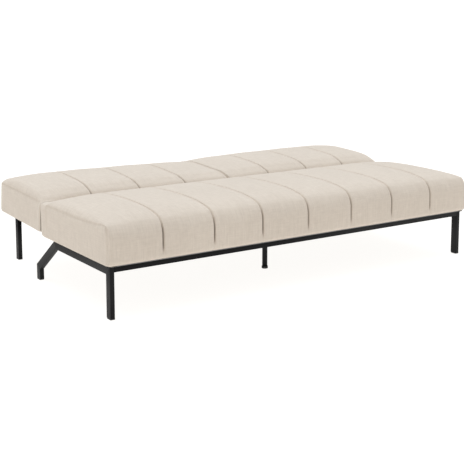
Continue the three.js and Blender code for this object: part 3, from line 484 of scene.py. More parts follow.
# Hinges: at each end two steel plates on the seat hold the pivot pin and the pawl pin, with the
# back's ratchet arm and the pawl between them. The plates are blanked, tumbled and zinc-plated,
# and the pins are turned from bright bar.
for end in END_NAMES:
    for name in ("seat_arm_", "hinge_cheek_", "back_arm_", "pawl_"):
        finish_node(name + end, zinc_plate, edge=0.4 * MM)
    for name in ("pivot_pin_", "pawl_pin_"):
        finish_node(name + end, zinc_plate, edge=0.5 * MM)
    finish_node("pawl_spring_" + end, spring_wire, edge=0.2 * MM)


# Dust cover of the seat: black spunbonded polypropylene, hemmed and held under the frame. It is
# as thin as paper, embossed with small dots, and sags a little between the tubes it rests on.
DOT_PITCH = 3.0 * MM
FIBRE_CLUMPS = 3.85 * MM
spunbond, tree, shader = new_material("spunbonded_polypropylene")
place = add_node(tree, "TexCoord").outputs["Object"]
dots = add_node(tree, "TexVoronoi", {
    "Vector": place, "Scale": 1 / DOT_PITCH, "Randomness": 0.15}).outputs["Distance"]
fibres = add_node(tree, "TexNoise", {
    "Vector": place, "Scale": 1 / FIBRE_CLUMPS, "Detail": 5, "Roughness": 0.7}).outputs["Fac"]
vary_surface(tree, shader, fibres, ("#121214", "#2C2C2E"), (0.75, 0.95))
relief = add_node(tree, "Math", {0: fibres, 1: 0.4, 2: dots}, operation="MULTIPLY_ADD").outputs[0]
bump = add_node(tree, "Bump", {"Height": relief, "Strength": 0.4, "Distance": 0.5 * MM})
tree.links.new(bump.outputs["Normal"], shader.inputs["Normal"])
shader.inputs["Specular IOR Level"].default_value = 0.3

COVER_THICK = 0.8 * MM
COVER_GAP = 0.1 * MM
COVER_STEP = 12 * MM
HEM_WIDTH = 18 * MM
HEM_RISE = 0.3 * MM
HEM_EDGE = 2 * MM
CREASE_SHARE = 0.18
CREASE_LENGTH = 169.8 * MM


def dust_cover_mesh(name, low, high, cells, sag):
    """A thin hemmed cloth between two corners that sags in each cell between its supports."""
    across = np.linspace(low.x, high.x, int((high.x - low.x) / COVER_STEP) + 1)
    along = np.linspace(low.y, high.y, int((high.y - low.y) / COVER_STEP) + 1)
    x, y = np.meshgrid(across, along, indexing="ij")
    drop = np.zeros_like(x)
    for x0, x1, y0, y1 in cells:
        u = np.clip((x - x0) / (x1 - x0), 0, 1)
        v = np.clip((y - y0) / (y1 - y0), 0, 1)
        wave = np.sin(math.tau * x / CREASE_LENGTH + 5 * v)
        creases = 1 + CREASE_SHARE * wave * np.sin(math.pi * v)
        drop += sag * np.sin(math.pi * u) ** 0.6 * np.sin(math.pi * v) * creases
    edge = np.minimum(np.minimum(x - low.x, high.x - x), np.minimum(y - low.y, high.y - y))
    hem = HEM_RISE * np.clip((HEM_WIDTH - edge) / HEM_EDGE, 0, 1)
    top = high.z - COVER_GAP - drop
    upper = np.stack([x, y, top], -1)
    lower = np.stack([x, y, top - COVER_THICK - hem], -1)
    nx, ny = x.shape
    index = np.arange(nx * ny).reshape(nx, ny)
    quads = np.stack([index[:-1, :-1], index[1:, :-1], index[1:, 1:], index[:-1, 1:]], -1)
    quads = quads.reshape(-1, 4)
    rim = np.r_[index[:, 0], index[-1, 1:], index[-2::-1, -1], index[0, -2:0:-1]]
    after = np.roll(rim, -1)
    shift = nx * ny
    wall = np.column_stack([rim, rim + shift, after + shift, after])
    faces = np.vstack([quads, quads[:, ::-1] + shift, wall])
    mesh = bpy.data.meshes.new(name)
    mesh.from_pydata(np.vstack([upper.reshape(-1, 3), lower.reshape(-1, 3)]).tolist(), [],
                     faces.tolist())
    return mesh


low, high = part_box("seat_dust_cover")
rail_low, rail_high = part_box("front_rail")
cross_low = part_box("rear_cross_rail")[0]
brace_low, brace_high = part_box("centre_brace")
cells = [
    (rail_low.x, brace_low.x, rail_high.y, cross_low.y),
    (brace_high.x, rail_high.x, rail_high.y, cross_low.y)]
mesh = dust_cover_mesh("seat_dust_cloth", low, high, cells, sag=5 * MM)
cloth = new_piece("seat_dust_cloth", mesh, spunbond, "base")
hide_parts("seat_dust_cover")


# Fabric: a plain linen-look weave of pale oatmeal yarns. Slubbed yarns give it its short
# streaks both ways, and the fuzz of the yarns lightens it where it is seen at a low angle.
# The threads are drawn about twice as coarse as they are, so that they show.
THREAD = 1.7 * MM
THREAD_WANDER, THREAD_SLACK = 7.14 * MM, 2.2
SLUB_WIDTH = 4.0 * MM
SLUB_LENGTH = 110 * MM
MOTTLE_SIZE = 22.22 * MM
FADE_SIZE = 333.3 * MM
fabric, tree, shader = new_material("oatmeal_linen_weave")
coord = add_node(tree, "TexCoord").outputs
parts = add_node(tree, "SeparateXYZ", {"Vector": coord["Object"]}).outputs
facing = add_node(tree, "SeparateXYZ", {"Vector": coord["Normal"]}).outputs


def weave_on(first, second):
    """Thread height and slub patterns of the weave in one plane."""
    flat = add_node(tree, "CombineXYZ", {"X": first, "Y": second}).outputs[0]
    wander = add_node(tree, "TexNoise", {"Vector": flat, "Scale": 1 / THREAD_WANDER, "Detail": 1})
    slack = add_node(tree, "Math", {0: wander.outputs["Fac"], 1: THREAD_SLACK},
                     operation="MULTIPLY")
    waves = []
    for along in (first, second):
        turn = add_node(tree, "Math", {0: along, 1: math.pi / THREAD, 2: slack.outputs[0]},
                        operation="MULTIPLY_ADD")
        waves.append(add_node(tree, "Math", {0: turn.outputs[0]}, operation="SINE").outputs[0])
    height = add_node(tree, "Math", {0: waves[0], 1: waves[1]}, operation="MULTIPLY")
    patterns = [height.outputs[0]]
    for size in ((SLUB_WIDTH, SLUB_LENGTH, 1), (SLUB_LENGTH, SLUB_WIDTH, 1)):
        stretched = add_node(tree, "Mapping", {
            "Vector": flat, "Scale": [1 / side for side in size]})
        slub = add_node(tree, "TexNoise", {
            "Vector": stretched.outputs[0], "Scale": 1, "Detail": 4, "Roughness": 0.65})
        patterns.append(slub.outputs["Fac"])
    return patterns


# The weave of each of the three planes counts as far as the surface faces it
squares = []
for i in range(3):
    size = add_node(tree, "Math", {0: facing[i]}, operation="ABSOLUTE").outputs[0]
    squares.append(add_node(tree, "Math", {0: size, 1: 6}, operation="POWER").outputs[0])
total = squares[0]
for square in squares[1:]:
    total = add_node(tree, "Math", {0: total, 1: square}, operation="ADD").outputs[0]
weights = [add_node(tree, "Math", {0: square, 1: total}, operation="DIVIDE").outputs[0]
           for square in squares]
planes = [weave_on(parts[1], parts[2]), weave_on(parts[0], parts[2]), weave_on(parts[0], parts[1])]


def blend(shares):
    """Adds up patterns, each times its share."""
    mixed = 0
    for pattern, share in shares:
        mixed = add_node(tree, "Math", {0: pattern, 1: share, 2: mixed},
                         operation="MULTIPLY_ADD").outputs[0]
    return mixed


threads, upright_slubs, level_slubs = [
    blend([(plane[i], weight) for plane, weight in zip(planes, weights)]) for i in range(3)]
mottle = add_node(tree, "TexNoise", {
    "Vector": coord["Object"], "Scale": 1 / MOTTLE_SIZE, "Detail": 5,
    "Roughness": 0.7}).outputs["Fac"]
fade = add_node(tree, "TexNoise", {
    "Vector": coord["Object"], "Scale": 1 / FADE_SIZE, "Detail": 2}).outputs["Fac"]
streaks = blend([(upright_slubs, 0.5), (level_slubs, 0.35)])
tone = blend([(streaks, 1), (mottle, 0.35), (threads, 0.05), (fade, 0.15)])
ramp = add_node(tree, "ValToRGB", {"Fac": tone})
ramp.color_ramp.elements[0].position = 0.45
ramp.color_ramp.elements[0].color = linear("#C9BDAF")
ramp.color_ramp.elements[1].position = 0.95
ramp.color_ramp.elements[1].color = linear("#E4D9CB")
middle_tone = ramp.color_ramp.elements.new(0.7)
middle_tone.color = linear("#D6CABC")
# Painted shade along the seams, in the slits and at the joint: the colour darkens towards deep
# brown
painted_fold_shade = add_node(tree, "Attribute", attribute_name="painted_fold_shade").outputs["Fac"]
shade = add_node(tree, "MixRGB", {
    "Fac": painted_fold_shade, "Color1": ramp.outputs["Color"], "Color2": linear("#4E443A")})
rough = add_node(tree, "MapRange", {"Value": mottle, "To Min": 0.82, "To Max": 0.98})
relief = blend([(streaks, 1.6), (threads, 0.35)])
bump = add_node(tree, "Bump", {"Height": relief, "Strength": 0.25, "Distance": 0.7 * MM})
tree.links.new(shade.outputs["Color"], shader.inputs["Base Color"])
tree.links.new(rough.outputs["Result"], shader.inputs["Roughness"])
tree.links.new(bump.outputs["Normal"], shader.inputs["Normal"])
shader.inputs["Specular IOR Level"].default_value = 0.2
shader.inputs["Sheen Weight"].default_value = 0.35
shader.inputs["Sheen Roughness"].default_value = 0.45
shader.inputs["Sheen Tint"].default_value = linear("#FFFCF6")


# Seat cushion: foam on the sprung frame, in a cover quilted over wadding. Seven seams run front to
# back and draw the cover in, so that eight channels swell between them and end as slits down the
# front. Plain side borders are sewn on round both ends, and the cover is sewn shut underneath.
# Sizes in millimetres, as are all of both cushions' sections.
SIDE = 990.0
CHANNELS = 8
PITCH = 2 * SIDE / CHANNELS
SEAMS = [-SIDE + PITCH * (k + 1) for k in range(CHANNELS - 1)]
# How high a channel stands before the cover is settled, and how full it is
LOFTED_CREST = 1.0
CREST_POWER = 2.5
# The top's short roll and long slope down to each end, the soft outer corners, and the tucked hem
END_ROLL, END_SLOPE = 27.0, 230.0
CORNER_RADIUS, CORNER_FADE = 16.0, 100.0
HEM_FADE = 45.0
# Where the two tops roll down into the joint: its rounded ends, and the valley that runs out
# before it reaches the side borders
JOINT_CORNER, JOINT_FADE, JOINT_DEPTH = 2.5, 45.0, 30.0
VALLEY_REACH = 90.0
VALLEY_FULL, VALLEY_END = 28.0, 140.0
VALLEY_FILL = 22.0
# Where the cross sections lie: their distances from each seam, and how many near each end, over
# what run and how far from the others
SEAM_STEPS = (0, 1.1, 2.2, 3.6, 5.2, 7.5, 11, 16, 23, 32, 43, 56, 71, 87, 105)
END_STEPS, END_RUN, END_GAP = 18, 100.0, 6.0
# The hinges stand in slots between these two distances from the middle
SLOT_IN, SLOT_OUT = 927.9, 953.5
# The hinge line, where seat and back meet, and the seat's rear face just in front of it
JOINT = Vector((0, 81, 358))
SEAT_JOINT_Y = JOINT.y - 0.3
SEAT_LOW = 220.0
SEAT_SIDE_SEAM = (
    (-585, 384), (-560, 385), (-525, 382), (-460, 375), (-385, 371), (-230, 367), (-30, 366),
    (81, 364))


def spread_even(points, count, ends=0.35):
    """Resamples a polyline to count + 1 points, a little closer together near its ends."""
    points = np.asarray(points, float)
    lengths = np.r_[0, np.cumsum(np.linalg.norm(np.diff(points[:, :2], axis=0), axis=1))]
    t = np.linspace(0, 1, count + 1)
    t = (1 - ends) * t + ends * (1 - np.cos(np.pi * t)) / 2
    return np.column_stack([np.interp(t * lengths[-1], lengths, points[:, k])
                            for k in range(points.shape[1])])


def smooth_through(knots, values, wanted):
    """Values of a smooth curve through the given ones, at the wanted places."""
    gaps = np.diff(knots)
    shape = (-1,) + (1,) * (values.ndim - 1)
    rates = np.diff(values, axis=0) / gaps.reshape(shape)
    slopes = np.empty_like(values)
    slopes[0], slopes[-1] = rates[0], rates[-1]
    before, after = gaps[:-1].reshape(shape), gaps[1:].reshape(shape)
    slopes[1:-1] = (rates[:-1] * after + rates[1:] * before) / (before + after)
    i = np.clip(np.searchsorted(knots, wanted, "right") - 1, 0, len(gaps) - 1)
    gap = gaps[i].reshape(shape)
    t = ((wanted - knots[i]).reshape(shape)) / gap
    return (values[i] * (2 * t ** 3 - 3 * t ** 2 + 1) + slopes[i] * gap * (t ** 3 - 2 * t ** 2 + t)
            + values[i + 1] * (3 * t ** 2 - 2 * t ** 3) + slopes[i + 1] * gap * (t ** 3 - t ** 2))


def curve_through(points, steps=24):
    """A smooth curve through control points, each y, z, share of the crest, share of the slit."""
    points = np.asarray(points, float)
    gaps = np.maximum(np.linalg.norm(np.diff(points[:, :2], axis=0), axis=1), 1e-6) ** 0.5
    knots = np.r_[0, np.cumsum(gaps)]
    wanted = np.r_[np.concatenate([
        np.linspace(a, b, steps, endpoint=False) for a, b in zip(knots, knots[1:])]), knots[-1]]
    return smooth_through(knots, points, wanted)


def end_stations(steps):
    """x from the outer face inwards: even steps round the end's roll, then wider ones."""
    turn = np.linspace(0, np.pi / 2, steps // 2 + 1)
    slope = np.linspace(END_ROLL, END_ROLL + END_RUN, steps - steps // 2 + 1)[1:]
    return SIDE - np.r_[END_ROLL * (1 - np.cos(turn)), slope]


def end_fall(to_end, roll_share, slope_power):
    """Share of the top's height at a distance from the outer face: a roll, then a long slope."""
    roll = np.sqrt(1 - np.clip(1 - to_end / END_ROLL, 0, 1) ** 2)
    slope = 1 - np.clip(1 - to_end / END_SLOPE, 0, 1) ** slope_power
    return roll_share * roll + (1 - roll_share) * slope


def stations_across(steps_from_seam, end_steps):
    """x of every cross section: the same steps out from each seam, and finer ones at the ends."""
    right = end_stations(end_steps)
    places = {round(seam + way * step, 3) for seam in SEAMS for step in steps_from_seam
              for way in (-1, 1)}
    places |= {-SIDE + PITCH * (k + 0.5) for k in range(CHANNELS)}
    inner = sorted(x for x in places if abs(x) < right[-1] - END_GAP)
    return np.r_[-right, inner, right[::-1]]


def section_normals(loop):
    run = np.roll(loop[:, :2], -1, 0) - np.roll(loop[:, :2], 1, 0)
    run /= np.maximum(np.linalg.norm(run, axis=1), 1e-9)[:, None]
    return np.column_stack([-run[:, 1], run[:, 0]])


def round_off(distance, radius):
    """How far a face steps back at this distance from an edge of this radius."""
    share = np.clip(1 - distance / radius, 0, 1)
    return radius * (1 - np.sqrt(1 - share ** 2))


def cushion_loft(loop, xs, shape):
    """Lofts a closed section across the bed, a point for each station and section point."""
    normals = section_normals(loop)
    x = np.repeat(xs[:, None], len(loop), axis=1)
    to_end = SIDE - np.abs(x)
    place = (x + SIDE) / PITCH
    swell = 1 - np.abs(2 * (place % 1) - 1) ** CREST_POWER
    swell[(place < 0.5) | (place > CHANNELS - 0.5)] = 1
    lift = loop[:, 2] * swell * LOFTED_CREST
    y = loop[:, 0] + normals[:, 0] * lift
    z = loop[:, 1] + normals[:, 1] * lift
    outer_fade = np.clip(1 - np.abs(loop[:, 0] - shape["outer_y"]) / CORNER_FADE, 0, 1)
    joint_fade = np.clip(1 - np.abs(loop[:, 0] - shape["joint_y"]) / JOINT_FADE, 0, 1)
    y -= shape["outward"] * round_off(to_end, CORNER_RADIUS) * outer_fade
    joint_fade = joint_fade * np.clip((shape["valley"] - z) / JOINT_DEPTH, 0, 1)
    y += shape["outward"] * round_off(to_end, JOINT_CORNER) * joint_fade
    near_joint = np.abs(loop[:, 0] - shape["joint_y"]) < VALLEY_REACH
    filled = np.clip((VALLEY_END - to_end) / (VALLEY_END - VALLEY_FULL), 0, 1) * near_joint
    shoulder = shape["valley"] + VALLEY_FILL
    z = np.where((z > shape["valley"] - 0.01) & (z < shoulder), z + (shoulder - z) * filled, z)
    seam = np.interp(loop[:, 0], *np.transpose(shape["side_seam"]))
    z = np.where(z > seam, seam + (z - seam) * end_fall(to_end, *shape["end"]), z)
    hem = round_off(z - shape["low"], shape["hem"]) * np.clip(1 - to_end / HEM_FADE, 0, 1)
    x -= np.sign(x) * hem
    if "sag" in shape:
        z -= shape["sag"](x, y, z)
    return np.stack([x, y, z], axis=-1)


def panel_patch(rim, counts):
    """Fills a rim of four runs with a grid, spanning it evenly both ways."""
    bottom, rear, top, front = counts
    corner = np.cumsum([0, front, top, rear, bottom])
    left = rim[corner[0]:corner[1] + 1]
    upper = rim[corner[1]:corner[2] + 1]
    right = rim[corner[2]:corner[3] + 1][::-1]
    lower = np.vstack([rim[corner[3]:corner[4]], rim[:1]])[::-1]
    u = np.linspace(0, 1, len(upper))[:, None, None]
    v = np.linspace(0, 1, len(left))[None, :, None]
    patch = ((1 - u) * left[None] + u * right[None] + (1 - v) * lower[:, None]
             + v * upper[:, None])
    return patch - ((1 - u) * (1 - v) * lower[0] + (1 - u) * v * upper[0]
                    + u * (1 - v) * lower[-1] + u * v * upper[-1])


# A side border swells and its seam's welt stands out by these, each over a distance from the edge
BULGE, BULGE_WIDTH = 2.6, 28.0
WELT, WELT_WIDTH, WELT_EDGE = 4.4, 4.5, 3.0


def swell_panel(patch, sign, sewn_rear):
    """Bulges a side border, with the seam's valley along its top and its outer upright edge."""
    away = [np.linalg.norm(patch - edge, axis=2) for edge in (
        patch[:1], patch[-1:], patch[:, :1], patch[:, -1:])]
    sewn = np.minimum(away[0], away[3])
    if sewn_rear:
        sewn = np.minimum(sewn, away[1])
    near = np.minimum(np.minimum(away[0], away[1]), np.minimum(away[2], away[3]))
    rise = BULGE * (1 - np.exp(-near / BULGE_WIDTH))
    rise += WELT * (1 - np.exp(-sewn / WELT_WIDTH)) * np.minimum(1, near / WELT_EDGE)
    out = patch.copy()
    out[..., 0] += sign * rise
    return out


def closed_mesh(name, grid, counts, panels):
    """Joins the loft and its two side borders into one closed mesh, in metres."""
    stations, around = grid.shape[:2]
    bottom, rear, top, front = counts
    s, i = np.meshgrid(np.arange(stations - 1), np.arange(around), indexing="ij")
    a = (s * around + i).ravel()
    b = (s * around + (i + 1) % around).ravel()
    faces = [np.column_stack([a, b, b + around, a + around])]
    verts = [grid.reshape(-1, 3)]
    made = grid.shape[0] * around
    for side, patch in enumerate(panels):
        base = 0 if side == 0 else (stations - 1) * around
        nu, nv = patch.shape[:2]
        index = np.full((nu, nv), -1)
        index[0] = base + np.arange(nv)
        index[-1] = base + front + top + rear - np.arange(nv)
        index[:, -1] = base + front + np.arange(nu)
        index[:, 0] = base + (around - np.arange(nu)) % around
        inner = np.arange((nu - 2) * (nv - 2)).reshape(nu - 2, nv - 2)
        index[1:-1, 1:-1] = made + inner
        made += inner.size
        verts.append(patch[1:-1, 1:-1].reshape(-1, 3))
        quads = np.stack([index[:-1, :-1], index[1:, :-1], index[1:, 1:], index[:-1, 1:]], -1)
        quads = quads.reshape(-1, 4)
        faces.append(quads if side == 0 else quads[:, ::-1])
    mesh = bpy.data.meshes.new(name)
    mesh.from_pydata((np.vstack(verts) * MM).tolist(), [], np.vstack(faces).tolist())
    sorted_mesh = bmesh.new()
    sorted_mesh.from_mesh(mesh)
    bmesh.ops.recalc_face_normals(sorted_mesh, faces=sorted_mesh.faces)
    sorted_mesh.to_mesh(mesh)
    sorted_mesh.free()
    return mesh


# The cover is settled as cloth: blown out against its seams, underside, joint face and borders,
# which stay where they are sewn, with a little more cloth than it needs. How far it moved is then
# scaled down until the foam's own crest is reached.
SETTLE_STEPS = tuple(PITCH / 16 * k for k in range(8))
SETTLE_END_STEPS = 9
SETTLE_FRAMES = 20
SPARE_CLOTH = 0.012
HELD_SHARE = 0.3


def settled_shift(name, loop, counts, shape):
    """How far the cover moves from its loft as it settles: the stations, and a shift at each."""
    xs = stations_across(SETTLE_STEPS, SETTLE_END_STEPS)
    grid = cushion_loft(loop, xs, shape)
    panels = [panel_patch(grid[0], counts), panel_patch(grid[-1], counts)]
    mesh = closed_mesh(name + "_settling", grid, counts, panels)
    cover = bpy.data.objects.new(name + "_settling", mesh)
    scene.collection.objects.link(cover)
    on_seam = np.min(np.abs(xs[:, None] - np.array(SEAMS)), axis=1) < 0.5
    held = np.maximum(on_seam[:, None], (loop[:, 2] < HELD_SHARE)[None, :])
    held[[0, -1]] = True
    group = cover.vertex_groups.new(name="held")
    group.add([int(i) for i in np.flatnonzero(held.ravel())], 1.0, "REPLACE")
    group.add(list(range(grid.shape[0] * grid.shape[1], len(mesh.vertices))), 1.0, "REPLACE")
    cloth = cover.modifiers.new("cloth", "CLOTH")
    cloth.settings.vertex_group_mass = "held"
    cloth.settings.quality = 5
    cloth.settings.mass = 0.4
    cloth.settings.tension_stiffness = 20
    cloth.settings.compression_stiffness = 8
    cloth.settings.shear_stiffness = 5
    cloth.settings.bending_stiffness = 0.6
    cloth.settings.shrink_min = -SPARE_CLOTH
    cloth.settings.use_pressure = True
    cloth.settings.uniform_pressure_force = 4
    cloth.settings.effector_weights.gravity = 0
    cloth.collision_settings.use_collision = False
    cloth.point_cache.frame_start, cloth.point_cache.frame_end = 1, SETTLE_FRAMES
    for step in range(1, SETTLE_FRAMES + 1):
        scene.frame_set(step)
    settled = cover.evaluated_get(bpy.context.evaluated_depsgraph_get()).to_mesh()
    places = np.empty(len(settled.vertices) * 3)
    settled.vertices.foreach_get("co", places)
    shift = places.reshape(-1, 3)[:grid.shape[0] * grid.shape[1]].reshape(grid.shape) / MM - grid
    bpy.data.objects.remove(cover)
    bpy.data.meshes.remove(mesh)
    scene.frame_set(1)
    furthest = np.quantile(np.linalg.norm(shift, axis=2), 0.95)
    return xs, shift * min(1.0, (shape["crest"] - LOFTED_CREST) / furthest)


# A seam's ditch, and what the one deep seam adds to it, its painted shade included; a slit's depth
# and the slope of its sides; the soft roll along both sides of the ditch; and the puckers, which
# fade away from it
SEAM_REACH = 70.0
DITCH_DEPTH, DITCH_HALF = 6.0, 4.6
DEEP_DEPTH, DEEP_HALF, DEEP_SHADE = 6.0, 2.5, 0.15
SLIT_DEPTH, SLIT_SLOPE = 24.0, 1.8
ROLL_RISE, ROLL_PLACE, ROLL_WIDTH = 1.5, 11.0, 5.5
PUCKER_DEPTH, PUCKER_LENGTH, PUCKER_FADE, PUCKER_CHANGE = 0.7, 21.0, 16.0, 7.3
# The seams are sewn on into the joint from these distances to it, and get a painted shade in its
# valley
SEWN_ON, SEWN_FULL, SEWN_RISE = 130.0, 90.0, 6.0
JOINT_SHADE, JOINT_SHADE_REACH = 0.25, 45.0


def sew_seams(grid, loop, shape):
    """Draws the cover in along each seam: a ditch with a soft roll on both sides and small puckers,
    cut deeper where the slits are. Returns each point's painted shade, from 0 to 1: a dark line
    along each seam and darkening deep in the slits."""
    normals = section_normals(loop)
    from_joint = np.abs(loop[:, 0] - shape["joint_y"])
    at_joint = np.clip((SEWN_ON - from_joint) / (SEWN_ON - SEWN_FULL), 0, 1)
    at_joint *= np.clip((loop[:, 1] - shape["valley"]) / SEWN_RISE, 0, 1)
    hold, slit = np.maximum(loop[:, 2], at_joint), loop[:, 3]
    shade = shape["seam_shade"] + JOINT_SHADE * at_joint * np.clip(
        1 - from_joint / JOINT_SHADE_REACH, 0, 1)
    painted_fold_shade = np.zeros(grid.shape[:2])
    xs = grid[:, len(loop) // 4, 0]
    for k, seam in enumerate(SEAMS):
        pucker = np.array([
            noise.noise(Vector((y / PUCKER_LENGTH, z / PUCKER_LENGTH, k * PUCKER_CHANGE)))
            for y, z in loop[:, :2]])
        deep = 1.0 if k == shape.get("deep_seam") else 0.0
        for s in np.flatnonzero(np.abs(xs - seam) < SEAM_REACH):
            off = abs(xs[s] - seam)
            ditch = max(0.0, 1 - off / (DITCH_HALF + DEEP_HALF * deep)) ** 0.7
            cut = min(1.0, max(0.0, (DITCH_HALF - off) / SLIT_SLOPE))
            roll = math.exp(-((off - ROLL_PLACE) / ROLL_WIDTH) ** 2)
            depth = (DITCH_DEPTH + DEEP_DEPTH * deep) * np.minimum(1.0, hold) * ditch
            depth += SLIT_DEPTH * slit * cut
            depth -= ROLL_RISE * hold * roll * (1 - 0.6 * slit)
            depth += PUCKER_DEPTH * (1.0 + pucker) * hold * math.exp(-off / PUCKER_FADE)
            grid[s, :, 1:] -= normals * depth[:, None]
            # Painted shade: a dark line along the seam, darker at the deep seam and near the joint,
            # and darkening deep in the slits
            line = (shade + DEEP_SHADE * deep) * hold * (off < shape["seam_wide"])
            painted_fold_shade[s] = np.clip(line + slit * cut, 0, 0.95)
    return painted_fold_shade


SIDE_SEAM_DEPTH, SIDE_SEAM_WIDTH, SIDE_SEAM_RINGS = 5.0, 5.5, 10


def draw_in_side_seams(grid, loop):
    """Pulls the cover in towards each side border, along the border's seam."""
    sewn = np.clip(loop[:, 2] * 4, 0, 1)
    for base, step in ((0, 1), (grid.shape[0] - 1, -1)):
        rim = grid[base].copy()
        for k in range(SIDE_SEAM_RINGS):
            ring = grid[base + step * k]
            near = np.linalg.norm(ring - rim, axis=1)
            ring[:, 0] += step * SIDE_SEAM_DEPTH * np.exp(-(near / SIDE_SEAM_WIDTH) ** 2) * sewn


# At each side the two cushions' edges press together along the joint, and get a painted shade there
PRESSED_BELOW, PRESSED_FADE, PRESSED_DEEP, PRESSED_SIDE = 6.0, 12.0, 3.0, 5.0
PRESSED_SHADE = 0.8
# A seam that veers does so over this distance from the joint, less towards the bed's ends
VEER_REACH, VEER_END = 120.0, 900.0


def quilted_cover(name, runs, counts, shape):
    """The whole cover of a cushion: lofted, settled, sewn and closed with its side borders."""
    loop = np.vstack([spread_even(run, count)[:-1] for run, count in zip(runs, counts)])
    order = counts[::-1]
    xs = stations_across(SEAM_STEPS, END_STEPS)
    grid = cushion_loft(loop, xs, shape)
    grid += smooth_through(*settled_shift(name, loop, order, shape), xs)
    painted_fold_shade = sew_seams(grid, loop, shape)
    from_joint = np.abs(loop[:, 0] - shape["joint_y"])
    # Painted shade where the cushions' edges press together at each side of the joint
    pressed_shade_mask = np.clip((shape["valley"] - PRESSED_BELOW - loop[:, 1]) / PRESSED_FADE, 0, 1)
    pressed_shade_mask *= from_joint < PRESSED_DEEP
    at_side = np.clip(1 - (SIDE - np.abs(xs)) / PRESSED_SIDE, 0, 1)
    painted_fold_shade = np.maximum(painted_fold_shade, PRESSED_SHADE * at_side[:, None] * pressed_shade_mask)
    near_joint = np.clip(1 - from_joint / VEER_REACH, 0, 1) ** 1.5 * (loop[:, 1] > shape["valley"])
    to_middle = np.clip(1 - (xs[:, None] / VEER_END) ** 2, 0, 1)
    grid[..., 0] += shape.get("veer", 0) * near_joint * to_middle
    draw_in_side_seams(grid, loop)
    sewn_rear = shape["outward"] > 0
    panels = [swell_panel(panel_patch(grid[0], order), -1, sewn_rear),
              swell_panel(panel_patch(grid[-1], order), 1, sewn_rear)]
    mesh = closed_mesh(name, grid, order, panels)
    # The painted shade is kept on the points, for the fabric to darken its colour by
    shades = np.zeros(len(mesh.vertices))
    shades[:painted_fold_shade.size] = painted_fold_shade.ravel()
    mesh.attributes.new("painted_fold_shade", "FLOAT", "POINT").data.foreach_set("value", shades)
    return mesh


def cut_slots(piece, front, rear, low, high):
    """Cuts the hinges' slots out of a cushion at both ends, each a box between these places."""
    tools = bmesh.new()
    for way in (-1, 1):
        middle = Vector((way * (SLOT_IN + SLOT_OUT), front + rear, low + high)) / 2
        size = Vector((SLOT_OUT - SLOT_IN, rear - front, high - low))
        made = bmesh.ops.create_cube(tools, size=1.0)["verts"]
        bmesh.ops.scale(tools, vec=size * MM, verts=made)
        bmesh.ops.translate(tools, vec=middle * MM, verts=made)
    tool_mesh = bpy.data.meshes.new("slot_cutter")
    tools.to_mesh(tool_mesh)
    tools.free()
    cutter = bpy.data.objects.new("slot_cutter", tool_mesh)
    scene.collection.objects.link(cutter)
    cut = piece.modifiers.new("slots", "BOOLEAN")
    cut.operation = "DIFFERENCE"
    cut.solver = "EXACT"
    cut.object = cutter
    bpy.context.view_layer.update()
    shaped = bpy.data.meshes.new_from_object(
        piece.evaluated_get(bpy.context.evaluated_depsgraph_get()))
    piece.modifiers.clear()
    piece.data = shaped
    bpy.data.objects.remove(cutter)
    shaped.shade_smooth()


# Each point of a section: y, z, share of the crest, share of the slit's depth. The shape says how
# its seams, ends, hem and crest are made; outward is the way that its outer upright face looks.
seat_front = curve_through([
    (-560, SEAT_LOW, 0, 0), (-572, 225.5, 0.08, 0), (-579, 236, 0.2, 0), (-580, 251, 0.4, 0),
    (-580, 270, 0.62, 0.25), (-580, 293, 0.85, 0.85), (-580, 317, 1, 1), (-578.5, 338, 1, 0.75),
    (-574, 354, 1, 0.3), (-566, 369.5, 1, 0.05)])
seat_top = curve_through([
    (-566, 369.5, 1, 0.05), (-551.5, 386, 1, 0), (-536, 395, 1, 0), (-510, 403, 1, 0),
    (-478, 409, 1, 0), (-416, 416.5, 1, 0), (-335, 420, 1, 0), (-232, 420.5, 1, 0),
    (-145, 417, 1, 0), (-55, 409.5, 0.75, 0), (10, 399.5, 0.4, 0), (28, 392, 0.1, 0),
    (40, 380.5, 0, 0), (50, 371.5, 0, 0), (60, 365, 0, 0), (71, 360.5, 0, 0),
    (SEAT_JOINT_Y, JOINT.z, 0, 0)])
seat_rear = curve_through([
    (SEAT_JOINT_Y, JOINT.z, 0, 0), (SEAT_JOINT_Y - 0.3, 338, 0, 0),
    (SEAT_JOINT_Y - 1.1, 288, 0, 0), (SEAT_JOINT_Y - 1.8, 246, 0, 0),
    (SEAT_JOINT_Y - 6, 231, 0, 0), (SEAT_JOINT_Y - 22, SEAT_LOW, 0, 0)])
seat_bottom = curve_through([
    (SEAT_JOINT_Y - 22, SEAT_LOW, 0, 0), (-250, SEAT_LOW, 0, 0), (-560, SEAT_LOW, 0, 0)])
mesh = quilted_cover(
    "quilted_seat", [seat_front, seat_top, seat_rear, seat_bottom], (22, 78, 22, 78),
    {"side_seam": SEAT_SIDE_SEAM, "outer_y": -585, "joint_y": SEAT_JOINT_Y, "outward": -1,
     "low": SEAT_LOW, "valley": JOINT.z, "crest": 5.5, "end": (0.57, 1.5), "hem": 14,
     "seam_shade": 0.12, "seam_wide": 2})
seat = new_piece("quilted_seat", mesh, fabric, "base")
cut_slots(seat, front=0.5, rear=90, low=210, high=370.3)
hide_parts("seat_cushion")


# Back frame: 25 mm square tube and zigzag springs like the seat's. The back is drawn level here,
# from the hinge line, and then set at its rest slope.
BACK_TILT = math.radians(1.8)
BACK_PLACE = Matrix.Translation(JOINT * MM) @ Matrix.Rotation(BACK_TILT, 4, "X")
to_back = BACK_PLACE.inverted()


def back_box(name):
    """A node's lowest and highest corners, measured square to the back."""
    points = [to_back @ v.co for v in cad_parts[name].data.vertices]
    return (Vector([min(p[i] for p in points) for i in range(3)]),
            Vector([max(p[i] for p in points) for i in range(3)]))


